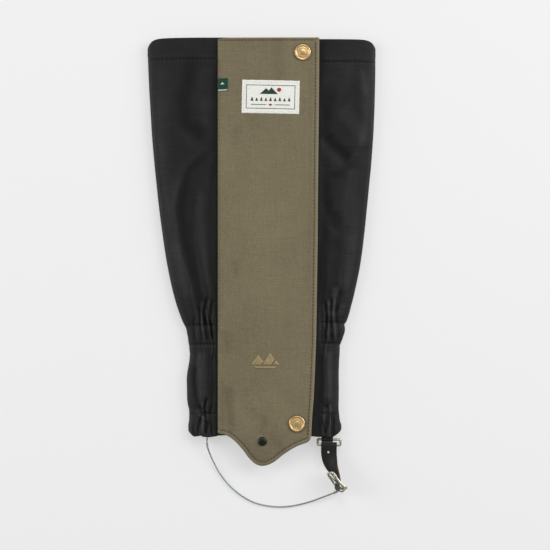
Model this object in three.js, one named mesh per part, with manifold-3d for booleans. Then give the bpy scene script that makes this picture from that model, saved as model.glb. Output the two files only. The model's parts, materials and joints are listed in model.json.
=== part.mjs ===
// A walking gaiter for the lower leg, lying flat with its front up.
// Millimetres. +Z is up through its thickness (front up), +Y points to the knee end, X runs across it.
// The origin is the centre of its footprint, on the surface it lies on.
import * as THREE from "three";
import { mergeVertices } from "three/addons/utils/BufferGeometryUtils.js";
import Module from "manifold-3d";

const wasm = await Module();
wasm.setup();

// ---- driving dimensions ----
const OFFSET = [0.95, 1.7, 0]; // moves the drawing's zero to the middle of the footprint
const TUBE_H = 12.0; // height of the flattened tube, outside
const CLOTH = 1.0; // side panel thickness
const FOLD_R = TUBE_H / 2; // outside radius of the side folds
const GAP = 0.3; // clearance between pieces that touch
const SEAM_X = -41.8; // left seam, where the flap is sewn on
const UNDER_L = -30.0; // left panel's edge under the flap
const UNDER_R = 12.4; // right panel's edge under the flap
const BACK_SEAM = 0.15; // half the joint line at the back
const ELASTIC_T = 0.8;
const ANKLE_ELASTIC_Y = [-59.0, -67.5, -76.0];
const HEM_ELASTIC_Y = [-149.0, -154.8, -160.5];
const FLAP_LIFT = 2.2; // the flap rises this much from the seam to its free side
const LINING_Z = 12.3; // underside of the lining at the seam
const LINING_T = 0.6;
const FLAP_Z = 13.2; // underside of the outer flap at the seam
const FLAP_T = 0.8;
const TAPE_X = [27, 47]; // hook and loop tapes
const TAPE_Y = [-134, 184];
const SNAPS = { top: [38.6, 199.7], bottom: [33.1, -152.4] };
const CAP_R = 7.6;
const LABEL = { c: [8.2, 157.4], w: 54.4, h: 31.4, turn: -1.3 };
const BADGE = { c: [3.2, -92.6], w: 29, h: 16 };
const TAB = { x: [-41.2, -32.4], y: [163.0, 174.9] };
const HOOK = [0.4, -169.1]; // lace hook's rivet
const AXIS_L = new THREE.Vector3(-52.3, -166.0, 6); // stirrup swing axis, left end
const AXIS_R = new THREE.Vector3(63.8, -167.8, 6); // and right end
const CABLE_R = 0.75;
const EYE_R = 3.8; // left eye, centre line radius
const EYE_TUBE = 0.7;
const RING_BAR = 1.25;
const RING_W = 21.5; // ring, between its side bars' centres
const RING_H = 5.5; // between its upper and lower bars' centres
const STRAP_W = 15;
const STRAP_T = 1.4;
const RING_TAB_W = 11;
const BUCKLE_BAR = 1.1;
const BUCKLE_HALF = 10; // from the buckle's middle to its side bars' centres
const PRONG_W = 2.0;

// Outline of the side folds: y, left x, right x.
const OUTLINE = [
  [212.8, -100.7, 97.5],
  [210.6, -105.8, 102.8],
  [207.5, -108.4, 106.3],
  [203.5, -109.3, 107.4],
  [191, -109.3, 107.4],
  [168.2, -108.3, 107.4],
  [145.4, -106.4, 106.4],
  [122.6, -105.5, 105.5],
  [99.8, -103.6, 103.6],
  [77, -100.7, 101.7],
  [54.2, -98.8, 99.8],
  [31.4, -96, 96.9],
  [8.6, -92.2, 94.1],
  [-14.3, -88.4, 90.3],
  [-37.1, -82.7, 85.5],
  [-48.5, -78.9, 82.2],
  [-59.9, -74.1, 78.2],
  [-71.3, -71.3, 76],
  [-82.7, -69.4, 73.4],
  [-94.1, -69.4, 73.0],
  [-105.5, -71.6, 72.2],
  [-128.3, -71.3, 72.2],
  [-139.7, -70.3, 72.2],
  [-151.1, -70.3, 74.1],
  [-158.7, -70.0, 74.8],
  [-162.5, -68.2, 74.1],
  [-164.5, -66.0, 72.6],
];
// Outline of the front flap: y, left x, right x, down to the tip of the tongue.
const FLAP = [
  [213.7, -41.8, 54.2],
  [170, -41.8, 54.0],
  [120, -41.8, 53.5],
  [70, -41.8, 53.0],
  [22, -41.8, 52.7],
  [-25, -41.8, 52.0],
  [-71.3, -41.8, 51.3],
  [-105, -41.8, 50.0],
  [-128.3, -41.8, 48.9],
  [-145, -41.8, 47.6],
  [-157.7, -41.8, 46.9],
  [-161.6, -41.8, 46.7],
  [-163.2, -34.5, 46.6],
  [-165.0, -30.8, 46.4],
  [-168.6, -26.3, 45.0],
  [-171.6, -23.4, 38.8],
  [-174.5, -20.7, 32.6],
  [-177.7, -17.9, 27.0],
  [-181.1, -15.4, 21.4],
  [-185.3, -12.3, 16.0],
  [-189.0, -8.6, 11.0],
  [-191.4, -4.6, 6.6],
  [-192.3, -1.6, 2.6],
];

const lerp = (a, b, t) => a + (b - a) * t;
const smooth = (t) => {
  t = Math.min(1, Math.max(0, t));
  return t * t * (3 - 2 * t);
};
function outlineAt(y) {
  for (let i = 0; i < OUTLINE.length - 1; i++) {
    const [y0, l0, r0] = OUTLINE[i],
      [y1, l1, r1] = OUTLINE[i + 1];
    if (y <= y0 && y >= y1) {
      const t = (y0 - y) / (y0 - y1);
      return [lerp(l0, l1, t), lerp(r0, r1, t)];
    }
  }
  return OUTLINE[y > 0 ? 0 : OUTLINE.length - 1].slice(1);
}
const lift = (x) => FLAP_LIFT * smooth((x - SEAM_X) / 56);

// ---- solids from quads ----
function meshFrom(points, tris) {
  let vol = 0;
  for (const [a, b, c] of tris) {
    const A = points[a],
      B = points[b],
      C = points[c];
    vol +=
      A[0] * (B[1] * C[2] - B[2] * C[1]) -
      A[1] * (B[0] * C[2] - B[2] * C[0]) +
      A[2] * (B[0] * C[1] - B[1] * C[0]);
  }
  const idx = [];
  for (const t of tris) idx.push(...(vol < 0 ? [t[0], t[2], t[1]] : t));
  const g = new THREE.BufferGeometry();
  g.setAttribute("position", new THREE.Float32BufferAttribute(points.flat(), 3));
  g.setIndex(idx);
  return g;
}
// Each row is a ring of points (a section); consecutive rings are joined and the ends capped.
function loft(rings) {
  const n = rings[0].length,
    pts = rings.flat(),
    tris = [];
  for (let i = 0; i < rings.length - 1; i++)
    for (let j = 0; j < n; j++) {
      const a = i * n + j,
        b = i * n + ((j + 1) % n),
        c = a + n,
        d = b + n;
      tris.push([a, b, d], [a, d, c]);
    }
  // Caps: a section is a strip of outer points followed by the inner ones in reverse.
  for (const [base, flip] of [
    [0, true],
    [(rings.length - 1) * n, false],
  ])
    for (let j = 0; j < n / 2 - 1; j++) {
      const a = base + j,
        b = base + j + 1,
        c = base + n - 1 - j,
        d = base + n - 2 - j;
      const q = [
        [a, b, d],
        [a, d, c],
      ];
      for (const t of q) tris.push(flip ? [t[0], t[2], t[1]] : t);
    }
  return meshFrom(pts, tris);
}
// A section of the flattened tube at height y: it starts at the front, goes round the side and ends at the back.
function tubeSide(y, side, inset, thick, xFront, xBack) {
  const [xl, xr] = outlineAt(y);
  const cx = side < 0 ? xl + FOLD_R : xr - FOLD_R;
  const path = (r) => {
    const p = [[xFront, FOLD_R + r]];
    p.push([lerp(xFront, cx, 0.5), FOLD_R + r]);
    for (let i = 0; i <= 6; i++) {
      const a = Math.PI / 2 + (Math.PI * i) / 6;
      p.push([cx - side * r * Math.cos(a), FOLD_R + r * Math.sin(a)]);
    }
    p.push([lerp(xBack, cx, 0.5), FOLD_R - r]);
    p.push([xBack, FOLD_R - r]);
    return p;
  };
  return [path(FOLD_R - inset), path(FOLD_R - inset - thick)];
}
function panel(side, xFront, xBack) {
  const rings = OUTLINE.map(([y]) => {
    const [o, i] = tubeSide(y, side, 0, CLOTH, xFront, xBack);
    return [...o, ...i.reverse()].map(([x, z]) => [x, y, z]);
  });
  return loft(rings);
}
function elastic(rows, xFrontL, xFrontR) {
  const rings = rows.map((y) => {
    const [ol, il] = tubeSide(y, -1, CLOTH + GAP, ELASTIC_T, xFrontL, -5);
    const [or, ir] = tubeSide(y, 1, CLOTH + GAP, ELASTIC_T, xFrontR, 5);
    const o = [...ol, ...or.reverse()],
      i = [...il, ...ir.reverse()];
    return [...o, ...i.reverse()].map(([x, z]) => [x, y, z]);
  });
  return loft(rings);
}
// A sheet over a grid: rows of [y, xl, xr], its underside at zf(x, y).
function sheet(rows, cols, zf, thick, turn = 0, c = [0, 0]) {
  const rings = rows.map(([y, xl, xr]) => {
    const low = [],
      top = [];
    for (let j = 0; j <= cols; j++) {
      let x = lerp(xl, xr, j / cols),
        yy = y;
      if (turn) {
        const s = Math.sin(turn),
          k = Math.cos(turn);
        [x, yy] = [c[0] + (x - c[0]) * k - (yy - c[1]) * s, c[1] + (x - c[0]) * s + (yy - c[1]) * k];
      }
      const z = zf(x, yy);
      low.push([x, yy, z]);
      top.push([x, yy, z + thick]);
    }
    return [...low, ...top.reverse()];
  });
  return loft(rings);
}
// A flat band of rectangular section through stations {c, w, n}: centre, width direction, normal.
function band(stations, width, thick) {
  const rings = stations.map(({ c, w, n }) => {
    const p = (a, b) => {
      const v = c.clone().addScaledVector(w, (a * width) / 2).addScaledVector(n, (b * thick) / 2);
      return [v.x, v.y, v.z];
    };
    return [p(-1, -1), p(1, -1), p(1, 1), p(-1, 1)];
  });
  return loft(rings);
}

// ---- solids through manifold-3d ----
function solid(g) {
  const s = g.index ? g.toNonIndexed() : g.clone();
  s.deleteAttribute("normal");
  s.deleteAttribute("uv");
  const m = mergeVertices(s, 1e-4);
  return new wasm.Manifold(
    new wasm.Mesh({
      numProp: 3,
      vertProperties: new Float32Array(m.attributes.position.array),
      triVerts: new Uint32Array(m.index.array),
    }),
  );
}
function geometry(m) {
  const out = m.getMesh();
  const g = new THREE.BufferGeometry();
  g.setAttribute("position", new THREE.Float32BufferAttribute(out.vertProperties, 3));
  g.setIndex(Array.from(out.triVerts));
  return g;
}
const place = (g, x, y, z) => g.clone().translate(x, y, z);
// A cylinder from point a to point b.
function rod(a, b, r, seg = 12) {
  const d = new THREE.Vector3().subVectors(b, a);
  const g = new THREE.CylinderGeometry(r, r, d.length(), seg);
  g.applyQuaternion(new THREE.Quaternion().setFromUnitVectors(new THREE.Vector3(0, 1, 0), d.clone().normalize()));
  g.translate((a.x + b.x) / 2, (a.y + b.y) / 2, (a.z + b.z) / 2);
  return g;
}
function ball(c, r, seg = 12) {
  const g = new THREE.SphereGeometry(r, seg, 6);
  g.translate(c.x, c.y, c.z);
  return g;
}
function union(list) {
  let m = solid(list[0]);
  for (const g of list.slice(1)) m = m.add(solid(g));
  return m;
}
const hole = (x, y, z0, z1, r) => solid(rod(new THREE.Vector3(x, y, z0), new THREE.Vector3(x, y, z1), r, 20));
// A turned piece about +Z: profile points are [radius, z].
function turned(profile, x, y, seg = 24) {
  const g = new THREE.LatheGeometry(
    profile.map(([r, z]) => new THREE.Vector2(r, z)),
    seg,
  );
  g.rotateX(Math.PI / 2); // the lathe's own axis (+Y) becomes +Z
  // rotating takes y to z and z to -y, which keeps the faces' direction
  let v = g.clone();
  v = place(v, x, y, 0);
  const m = solid(v);
  if (m.volume() < 0) {
    const idx = v.index.array;
    for (let i = 0; i < idx.length; i += 3) [idx[i + 1], idx[i + 2]] = [idx[i + 2], idx[i + 1]];
  }
  return v;
}

const parts = [];
function add(name, geo, color, roughness, metalness) {
  const mesh = new THREE.Mesh(geo, new THREE.MeshStandardMaterial({ color, roughness, metalness }));
  mesh.name = name;
  parts.push(mesh);
}
const SHELL = [0x26262a, 0.75, 0];
const OLIVE = [0x6b6550, 0.85, 0];
const LINING = [0x2c2b27, 0.85, 0];
const STEEL = [0xb9bab6, 0.3, 1];
const GOLD = [0xbf9a62, 0.35, 1];
const BLACK_METAL = [0x1b1c1f, 0.4, 0.8];
const ELASTIC = [0x1d1d1f, 0.9, 0];
const LEATHER = [0x2d2c2a, 0.6, 0];

// ---- the tube ----
const snapXY = Object.values(SNAPS);
let left = solid(panel(-1, UNDER_L, -BACK_SEAM));
let right = solid(panel(1, UNDER_R, BACK_SEAM));
const EYELET = { x: 14, y: 205.5 };
left = left.subtract(hole(-EYELET.x, EYELET.y, -3, 4, 3.0));
right = right.subtract(hole(EYELET.x, EYELET.y, -3, 4, 3.0));
for (const [x, y] of snapXY) right = right.subtract(hole(x, y, 8, 14, 2.2));
add("left_side_panel", geometry(left), ...SHELL);
add("right_side_panel", geometry(right), ...SHELL);
add("ankle_elastic", elastic(ANKLE_ELASTIC_Y, UNDER_L - 1, 24), ...ELASTIC);
add("hem_elastic", elastic(HEM_ELASTIC_Y, UNDER_L - 1, 40), ...ELASTIC);
for (const [name, x] of [
  ["drawcord_eyelet_left", -EYELET.x],
  ["drawcord_eyelet_right", EYELET.x],
])
  add(
    name,
    turned(
      [
        [1.8, 0.1],
        [2.6, 0.1],
        [2.6, 1.3],
        [4.2, 1.3],
        [4.2, 1.75],
        [1.8, 1.75],
        [1.8, 0.1],
      ],
      x,
      EYELET.y,
    ),
    ...BLACK_METAL,
  );
const rowsY = (y0, y1, n, x0, x1) => Array.from({ length: n + 1 }, (_, i) => [lerp(y1, y0, i / n), x0, x1]);
add("hook_tape", sheet(rowsY(TAPE_Y[0], TAPE_Y[1], 2, ...TAPE_X), 2, () => TUBE_H + GAP, 0.8), ...ELASTIC);

// ---- press studs ----
for (const [k, [x, y]] of Object.entries(SNAPS)) {
  const z0 = TUBE_H; // top of the right panel
  add(
    "snap_stud_" + k,
    turned(
      [
        [0, 10.0],
        [1.6, 10.0],
        [1.6, z0 + GAP],
        [5.4, z0 + GAP],
        [5.4, z0 + 0.6],
        [2.3, z0 + 0.6],
        [2.3, z0 + 1.3],
        [1.9, z0 + 1.6],
        [0, z0 + 1.6],
      ],
      x,
      y,
      20,
    ),
    ...STEEL,
  );
  add(
    "snap_post_" + k,
    turned(
      [
        [2.0, 9.95],
        [5.4, 9.95],
        [5.4, 10.7],
        [2.0, 10.7],
        [2.0, 9.95],
      ],
      x,
      y,
      20,
    ),
    ...STEEL,
  );
}

// ---- stirrup anchors on the hem ----
// Local frame of the swing axis.
const axisDir = new THREE.Vector3().subVectors(AXIS_R, AXIS_L).normalize();
const up = new THREE.Vector3(0, 0, 1);
const outDir = new THREE.Vector3().crossVectors(up, axisDir); // roughly +Y
const swing = (origin, a, b, c) =>
  origin.clone().addScaledVector(axisDir, a).addScaledVector(outDir, b).addScaledVector(up, c);
// A ribbon bent in the plane across the axis: points are [out, up] from the axis.
function bentTape(origin, pts, width, thick) {
  const st = pts.map((p, i) => {
    const a = pts[Math.max(0, i - 1)],
      b = pts[Math.min(pts.length - 1, i + 1)];
    const t = new THREE.Vector2(b[0] - a[0], b[1] - a[1]).normalize();
    const n = outDir.clone().multiplyScalar(-t.y).addScaledVector(up, t.x);
    return { c: swing(origin, 0, p[0], p[1]), w: axisDir, n };
  });
  return band(st, width, thick);
}
const WRAP = RING_BAR + GAP + 0.45;
const arc = (cx, cy, r, a0, a1, n) =>
  Array.from({ length: n + 1 }, (_, i) => {
    const a = ((a0 + ((a1 - a0) * i) / n) * Math.PI) / 180;
    return [cx + r * Math.cos(a), cy + r * Math.sin(a)];
  });
add(
  "ring_tab",
  bentTape(
    swing(AXIS_R, -1.8, 0, 0),
    [
      [31, 3.9],
      [22, 3.85],
      [18, 2.9],
      [8, 2.1],
      [3, 2.0],
      ...arc(0, 0, WRAP, 90, 270, 10),
      [2.5, -1.7],
      [8, 0.6],
      [16.5, 1.55],
      [22, 2.5],
      [31, 2.55],
    ],
    RING_TAB_W,
    0.9,
  ),
  ...SHELL,
);
{
  const tab = solid(
    bentTape(
      AXIS_L,
      [
        [27, 4.25],
        [21, 4.1],
        [16, 2.7],
        [9, 0.6],
        [7.2, 0.0],
        [0.45, 0.0],
      ],
      9,
      0.9,
    ),
  );
  const h = swing(AXIS_L, 0, EYE_R, 0);
  add("cable_tab", geometry(tab.subtract(hole(h.x, h.y, 2, 10, 2.2))), ...SHELL);
  add(
    "cable_tab_eyelet",
    turned(
      [
        [1.5, 4.85],
        [2.95, 4.85],
        [2.95, 5.2],
        [1.9, 5.2],
        [1.9, 6.8],
        [2.95, 6.8],
        [2.95, 7.15],
        [1.5, 7.15],
        [1.5, 4.85],
      ],
      h.x,
      h.y,
      20,
    ),
    ...BLACK_METAL,
  );
}

// ---- the flap ----
const flapUnder = (x) => FLAP_Z + lift(x);
const flapTop = (x) => FLAP_Z + FLAP_T + lift(x);
let outer = solid(sheet(FLAP, 8, flapUnder, FLAP_T));
let lining = solid(
  sheet(
    FLAP.filter(([y], i) => i < FLAP.length - 1 && (y > -160 || y < -164)).map(([y, l, r], i) => [
      i === 0 ? y - 2 : y + (y < -163 ? 1.6 : 0),
      l + 2.2,
      r - 2.2,
    ]),
    8,
    (x) => LINING_Z + lift(x),
    LINING_T,
  ),
);
for (const [x, y] of [...snapXY]) {
  outer = outer.subtract(hole(x, y, 12, 18, 2.6));
  lining = lining.subtract(hole(x, y, 12, 18, 2.6));
}
outer = outer.subtract(hole(HOOK[0], HOOK[1], 12, 18, 1.8));
lining = lining.subtract(hole(HOOK[0], HOOK[1], 12, 18, 1.8));
add("front_flap", geometry(outer), ...OLIVE);
add("flap_lining", geometry(lining), ...LINING);
add(
  "loop_tape",
  sheet(rowsY(TAPE_Y[0], TAPE_Y[1], 2, ...TAPE_X), 2, () => TUBE_H + GAP + 0.8 + GAP, 0.8),
  ...ELASTIC,
);
add(
  "woven_label",
  sheet(
    rowsY(LABEL.c[1] - LABEL.h / 2, LABEL.c[1] + LABEL.h / 2, 2, LABEL.c[0] - LABEL.w / 2, LABEL.c[0] + LABEL.w / 2),
    6,
    (x) => flapTop(x) + GAP + 0.1,
    0.5,
    (LABEL.turn * Math.PI) / 180,
    LABEL.c,
  ),
  0xe6e7de,
  0.8,
  0,
);
add("side_tab", sheet(rowsY(TAB.y[0], TAB.y[1], 1, ...TAB.x), 2, (x) => flapTop(x) + GAP, 0.5), 0x1f4a39, 0.8, 0);
add(
  "embroidered_badge",
  sheet(
    [
      [BADGE.c[1] + BADGE.h / 2, BADGE.c[0] - BADGE.w * 0.3, BADGE.c[0] + BADGE.w * 0.3],
      [BADGE.c[1] + BADGE.h * 0.2, BADGE.c[0] - BADGE.w * 0.47, BADGE.c[0] + BADGE.w * 0.47],
      [BADGE.c[1] - BADGE.h * 0.1, BADGE.c[0] - BADGE.w * 0.5, BADGE.c[0] + BADGE.w * 0.5],
      [BADGE.c[1] - BADGE.h / 2, BADGE.c[0] - BADGE.w * 0.32, BADGE.c[0] + BADGE.w * 0.32],
    ],
    3,
    (x) => flapTop(x) + GAP + 0.1,
    0.5,
  ),
  0xa5946c,
  0.8,
  0,
);
for (const [k, [x, y]] of Object.entries(SNAPS)) {
  const t = flapTop(x) + GAP; // underside of the cap
  const u = LINING_Z + lift(x) - GAP; // top of the socket
  add(
    "snap_cap_" + k,
    turned(
      [
        [0, TUBE_H + 1.6 + GAP],
        [2.2, TUBE_H + 1.6 + GAP],
        [2.2, t],
        [CAP_R - 0.2, t],
        [CAP_R, t + 0.5],
        [CAP_R - 0.3, t + 1.1],
        [CAP_R - 1.6, t + 1.4],
        [CAP_R - 2.2, t + 1.2],
        [3.5, t + 1.8],
        [0, t + 2.1],
      ],
      x,
      y,
      28,
    ),
    ...GOLD,
  );
  add(
    "snap_socket_" + k,
    turned(
      [
        [2.6, u - 1.3],
        [5.9, u - 1.3],
        [5.9, u],
        [2.6, u],
        [2.6, u - 1.3],
      ],
      x,
      y,
      20,
    ),
    ...STEEL,
  );
}
{
  // Lace hook: a plate under the tongue's lining, bent round and back towards the leg.
  const base = LINING_Z + lift(HOOK[0]) - GAP - 0.5;
  const path = [
    [HOOK[1] + 5.5, base],
    [HOOK[1] - 8.5, base],
    [HOOK[1] - 10.8, base - 0.8],
    [HOOK[1] - 11.8, base - 2.2],
    [HOOK[1] - 11.2, base - 3.8],
    [HOOK[1] - 9.2, base - 4.6],
    [HOOK[1] - 2.0, base - 4.3],
  ];
  const st = path.map((p, i) => {
    const a = path[Math.max(0, i - 1)],
      b = path[Math.min(path.length - 1, i + 1)];
    const t = new THREE.Vector2(b[0] - a[0], b[1] - a[1]).normalize();
    return {
      c: new THREE.Vector3(HOOK[0], p[0], p[1]),
      w: new THREE.Vector3(1, 0, 0),
      n: new THREE.Vector3(0, -t.y, t.x),
    };
  });
  const plate = solid(band(st, 8, 1.0)).subtract(hole(HOOK[0], HOOK[1], base - 1.5, base + 2, 1.8));
  add("lace_hook", geometry(plate), ...BLACK_METAL);
  const t = flapTop(HOOK[0]) + GAP;
  add(
    "lace_hook_rivet",
    turned(
      [
        [0, base - 1.5],
        [2.6, base - 1.5],
        [2.6, base - 0.8],
        [1.5, base - 0.8],
        [1.5, t],
        [4.2, t],
        [4.3, t + 0.4],
        [3.4, t + 1.2],
        [1.8, t + 1.7],
        [0, t + 1.85],
      ],
      HOOK[0],
      HOOK[1],
      20,
    ),
    ...BLACK_METAL,
  );
}

// ---- the stirrup ----
{
  // Cable eye through the tab's eyelet: a ring whose own axis is the swing axis.
  const g = new THREE.TorusGeometry(EYE_R, EYE_TUBE, 8, 24);
  g.applyQuaternion(new THREE.Quaternion().setFromUnitVectors(new THREE.Vector3(0, 0, 1), axisDir));
  g.translate(AXIS_L.x, AXIS_L.y, AXIS_L.z);
  add("cable_eye_left", geometry(solid(g)), ...STEEL);
}
{
  const c = [
    swing(AXIS_R, -RING_W / 2, 0, 0),
    swing(AXIS_R, RING_W / 2, 0, 0),
    swing(AXIS_R, RING_W / 2, -RING_H, 0),
    swing(AXIS_R, -RING_W / 2, -RING_H, 0),
  ];
  const list = c.map((p) => ball(p, RING_BAR * 1.005, 12));
  c.forEach((p, i) => list.push(rod(p, c[(i + 1) % 4], RING_BAR, 12)));
  add("hem_ring", geometry(union(list)), ...STEEL);
}
// Buckle frame's own directions: along the strap back to the hem, its front normal, and across.
const TILT = (16 * Math.PI) / 180;
const BU = new THREE.Vector3(-0.566, 0.8244, 0).normalize();
const sideDir = new THREE.Vector3(BU.y, -BU.x, 0);
const BW = sideDir.clone().multiplyScalar(Math.sin(TILT)).addScaledVector(up, Math.cos(TILT));
const BN = new THREE.Vector3().crossVectors(BW, BU);
const BO = new THREE.Vector3(74.7, -214.1, 12.0);
const buckle = (u, n, w = 0) => BO.clone().addScaledVector(BU, u).addScaledVector(BN, n).addScaledVector(BW, w);
const HEEL = [-1.5, -2.4];
const FRONT_U = 18;
{
  const list = [];
  for (const s of [-1, 1]) {
    const pts = [HEEL, [0.8, -1.5], [3, -0.35], [6, 0], [FRONT_U, 0]].map(([u, n]) => buckle(u, n, s * BUCKLE_HALF));
    pts.forEach((p, i) => {
      if (i === 0 || i === pts.length - 1) list.push(ball(p, BUCKLE_BAR * 1.005, 8));
      else list.push(ball(p, BUCKLE_BAR, 6));
      if (i) list.push(rod(pts[i - 1], p, BUCKLE_BAR, 8));
    });
  }
  list.push(rod(buckle(...HEEL, -BUCKLE_HALF), buckle(...HEEL, BUCKLE_HALF), BUCKLE_BAR, 12));
  list.push(rod(buckle(FRONT_U, 0, -BUCKLE_HALF), buckle(FRONT_U, 0, BUCKLE_HALF), BUCKLE_BAR, 12));
  add("buckle_frame", geometry(union(list)), ...STEEL);
}
{
  // Prong: a ring round the heel bar and an arm that rests on the front bar.
  const pts = [
    [0.4, -1.1],
    [2, -0.55],
    [6, -0.15],
    [10, 0.55],
    [14, 1.3],
    [18, 1.95],
    [19.3, 2.0],
  ];
  const st = pts.map(([u, n], i) => {
    const a = pts[Math.max(0, i - 1)],
      b = pts[Math.min(pts.length - 1, i + 1)];
    const t = new THREE.Vector2(b[0] - a[0], b[1] - a[1]).normalize();
    return { c: buckle(u, n), w: BW, n: BU.clone().multiplyScalar(-t.y).addScaledVector(BN, t.x) };
  });
  const arm = solid(band(st, PRONG_W, 1.1));
  const h = PRONG_W / 2 + 0.3;
  const ring = solid(rod(buckle(...HEEL, -h), buckle(...HEEL, h), 2.3, 18)).subtract(
    solid(rod(buckle(...HEEL, -h - 1), buckle(...HEEL, h + 1), BUCKLE_BAR + GAP, 18)),
  );
  const keep = arm.subtract(solid(rod(buckle(...HEEL, -h - 1), buckle(...HEEL, h + 1), 2.0, 18)));
  add("buckle_prong", geometry(ring.add(keep)), ...STEEL);
}
// Strap: from its stitched end under the ring's lower bar, round the bar, and down to the buckle.
const HOLE_U = 8;
{
  const low = swing(AXIS_R, 0, -RING_H, 0);
  const r = RING_BAR + GAP + STRAP_T / 2;
  const st = [];
  const addSt = (c, w, t) => st.push({ c, w, n: new THREE.Vector3().crossVectors(t, w).normalize() });
  // return leg, going towards the hem, then round the bar; the normal points away from the bar
  const leg = [
    [-7.2, -0.9],
    [-5.0, -1.25],
    [-2.2, -2.1],
    ...arc(0, 0, r, 262, 450, 12),
  ];
  const cs = leg.map(([a, b]) => low.clone().addScaledVector(outDir, a).addScaledVector(up, b));
  const main = [
    { c: new THREE.Vector3(63.5, -178.5, 7.75), roll: 3 },
    { c: new THREE.Vector3(63.6, -183.0, 7.5), roll: 10 },
    { c: new THREE.Vector3(64.6, -188.0, 7.9), roll: 24 },
    { c: new THREE.Vector3(66.3, -193.0, 9.0), roll: 38 },
  ];
  for (const m of main) cs.push(m.c);
  const buckled = [
    [18, -4.7, 20],
    [14, -3.1, 12],
    [11, -1.75, 4],
    [9.6, -1.0, 0],
    [8.1, 0.05, 0],
  ];
  for (const [u, n] of buckled) cs.push(buckle(u, n));
  const nLeg = leg.length;
  cs.forEach((c, i) => {
    const t = new THREE.Vector3()
      .subVectors(cs[Math.min(cs.length - 1, i + 1)], cs[Math.max(0, i - 1)])
      .normalize();
    let w;
    if (i < nLeg) w = axisDir.clone();
    else if (i < nLeg + main.length) {
      const roll = (main[i - nLeg].roll * Math.PI) / 180;
      const flat = new THREE.Vector3(-t.y, t.x, 0).normalize(); // to the right when looking from the hem
      w = flat.multiplyScalar(Math.cos(roll)).addScaledVector(up, Math.sin(roll));
    } else {
      const roll = (buckled[i - nLeg - main.length][2] * Math.PI) / 180;
      w = BW.clone().multiplyScalar(Math.cos(roll)).addScaledVector(BN, -Math.sin(roll));
    }
    w.addScaledVector(t, -w.dot(t)).normalize();
    addSt(c, w, t);
  });
  let strap = solid(band(st, STRAP_W, STRAP_T));
  const slot = (u0, u1) =>
    solid(rod(buckle(u0, -3.5), buckle(u0, 4.5), 1.5, 16)).add(solid(rod(buckle(u1, -3.5), buckle(u1, 4.5), 1.5, 16)));
  const pin = solid(band([{ c: buckle(HOLE_U - 2, 0.5), w: BW, n: BN }, { c: buckle(HOLE_U + 2, 0.5), w: BW, n: BN }], 3.0, 8));
  strap = strap.subtract(pin).subtract(slot(HOLE_U - 2, HOLE_U + 2));
  strap = strap.subtract(hole(63.1, -179.9, 3, 12, 1.0));
  add("leather_strap", geometry(strap), ...LEATHER);

  const tail = [
    [7.7, 0.35],
    [6.6, 1.2],
    [5.4, 1.85],
    [3, 2.15],
    [0.6, 2.1],
  ];
  const ts = tail.map(([u, n], i) => {
    const a = tail[Math.max(0, i - 1)],
      b = tail[Math.min(tail.length - 1, i + 1)];
    const t = new THREE.Vector2(b[0] - a[0], b[1] - a[1]).normalize();
    return { c: buckle(u, n), w: BW, n: BU.clone().multiplyScalar(-t.y).addScaledVector(BN, t.x) };
  });
  // the tail and the strap meet across the hole with a clearance
  const cut = solid(
    band([{ c: buckle(8.05, 0), w: BW, n: BN }, { c: buckle(12, 0), w: BW, n: BN }], 20, 12),
  );
  const tailSolid = solid(band(ts, STRAP_W, STRAP_T)).subtract(pin).subtract(slot(HOLE_U - 2, HOLE_U + 2)).subtract(cut);
  add("strap_tail", geometry(tailSolid), ...LEATHER);
}
{
  // Right eye: a level ring round the heel bar near its lower end.
  const c = buckle(HEEL[0], HEEL[1], -7);
  const g = new THREE.TorusGeometry(2.6, 0.7, 8, 22);
  g.translate(c.x, c.y, c.z);
  add("cable_eye_right", geometry(solid(g)), ...STEEL);
  const d = new THREE.Vector3(-0.886, -0.463, -0.08).normalize();
  const a = c.clone().addScaledVector(d, 2.6 + 0.7 + GAP);
  const b = c.clone().addScaledVector(d, 2.6 + 0.7 + GAP + 4.6);
  add("cable_crimp_right", rod(a, b, 1.2, 12), ...STEEL);
  const e = c.clone().addScaledVector(d, 2.6 + 0.7 + 2 * GAP + 4.6);
  // Left crimp, just past the left eye.
  const l0 = swing(AXIS_L, 0, -(EYE_R + EYE_TUBE + GAP), 0);
  const dl = new THREE.Vector3(0.1, -0.985, -0.1).normalize();
  const l1 = l0.clone().addScaledVector(dl, 4.0);
  add("cable_crimp_left", rod(l0, l1, 1.05, 12), ...STEEL);
  const s = l0.clone().addScaledVector(dl, 4.0 + GAP);
  const run = [
    s,
    new THREE.Vector3(-50.1, -180.5, 3.9),
    new THREE.Vector3(-45.8, -190.4, 2.3),
    new THREE.Vector3(-39.7, -201.3, 1.2),
    new THREE.Vector3(-30.7, -212.6, 0.9),
    new THREE.Vector3(-20.0, -221.6, 0.85),
    new THREE.Vector3(-8.0, -228.2, 0.85),
    new THREE.Vector3(4.2, -231.4, 0.85),
    new THREE.Vector3(17.8, -232.5, 0.85),
    new THREE.Vector3(29.9, -231.4, 0.85),
    new THREE.Vector3(45.0, -227.8, 1.2),
    new THREE.Vector3(58.5, -222.9, 2.6),
    e,
  ];
  const curve = new THREE.CatmullRomCurve3(run, false, "centripetal");
  const sec = new THREE.Shape();
  for (let i = 0; i < 8; i++) {
    const q = (i / 8) * Math.PI * 2;
    const x = CABLE_R * Math.cos(q),
      y = CABLE_R * Math.sin(q);
    i ? sec.lineTo(x, y) : sec.moveTo(x, y);
  }
  sec.closePath();
  const tube = new THREE.ExtrudeGeometry(sec, { steps: 56, extrudePath: curve, bevelEnabled: false, curveSegments: 1 });
  add("stirrup_cable", geometry(solid(tube)), 0x9aa09c, 0.4, 0.9);
}

const gaiter = new THREE.Group();
for (const mesh of parts) gaiter.add(mesh);
gaiter.position.set(...OFFSET);
export default gaiter;
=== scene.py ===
import bpy
import json
import math
import numpy as np
from mathutils import Vector, Matrix

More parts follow.
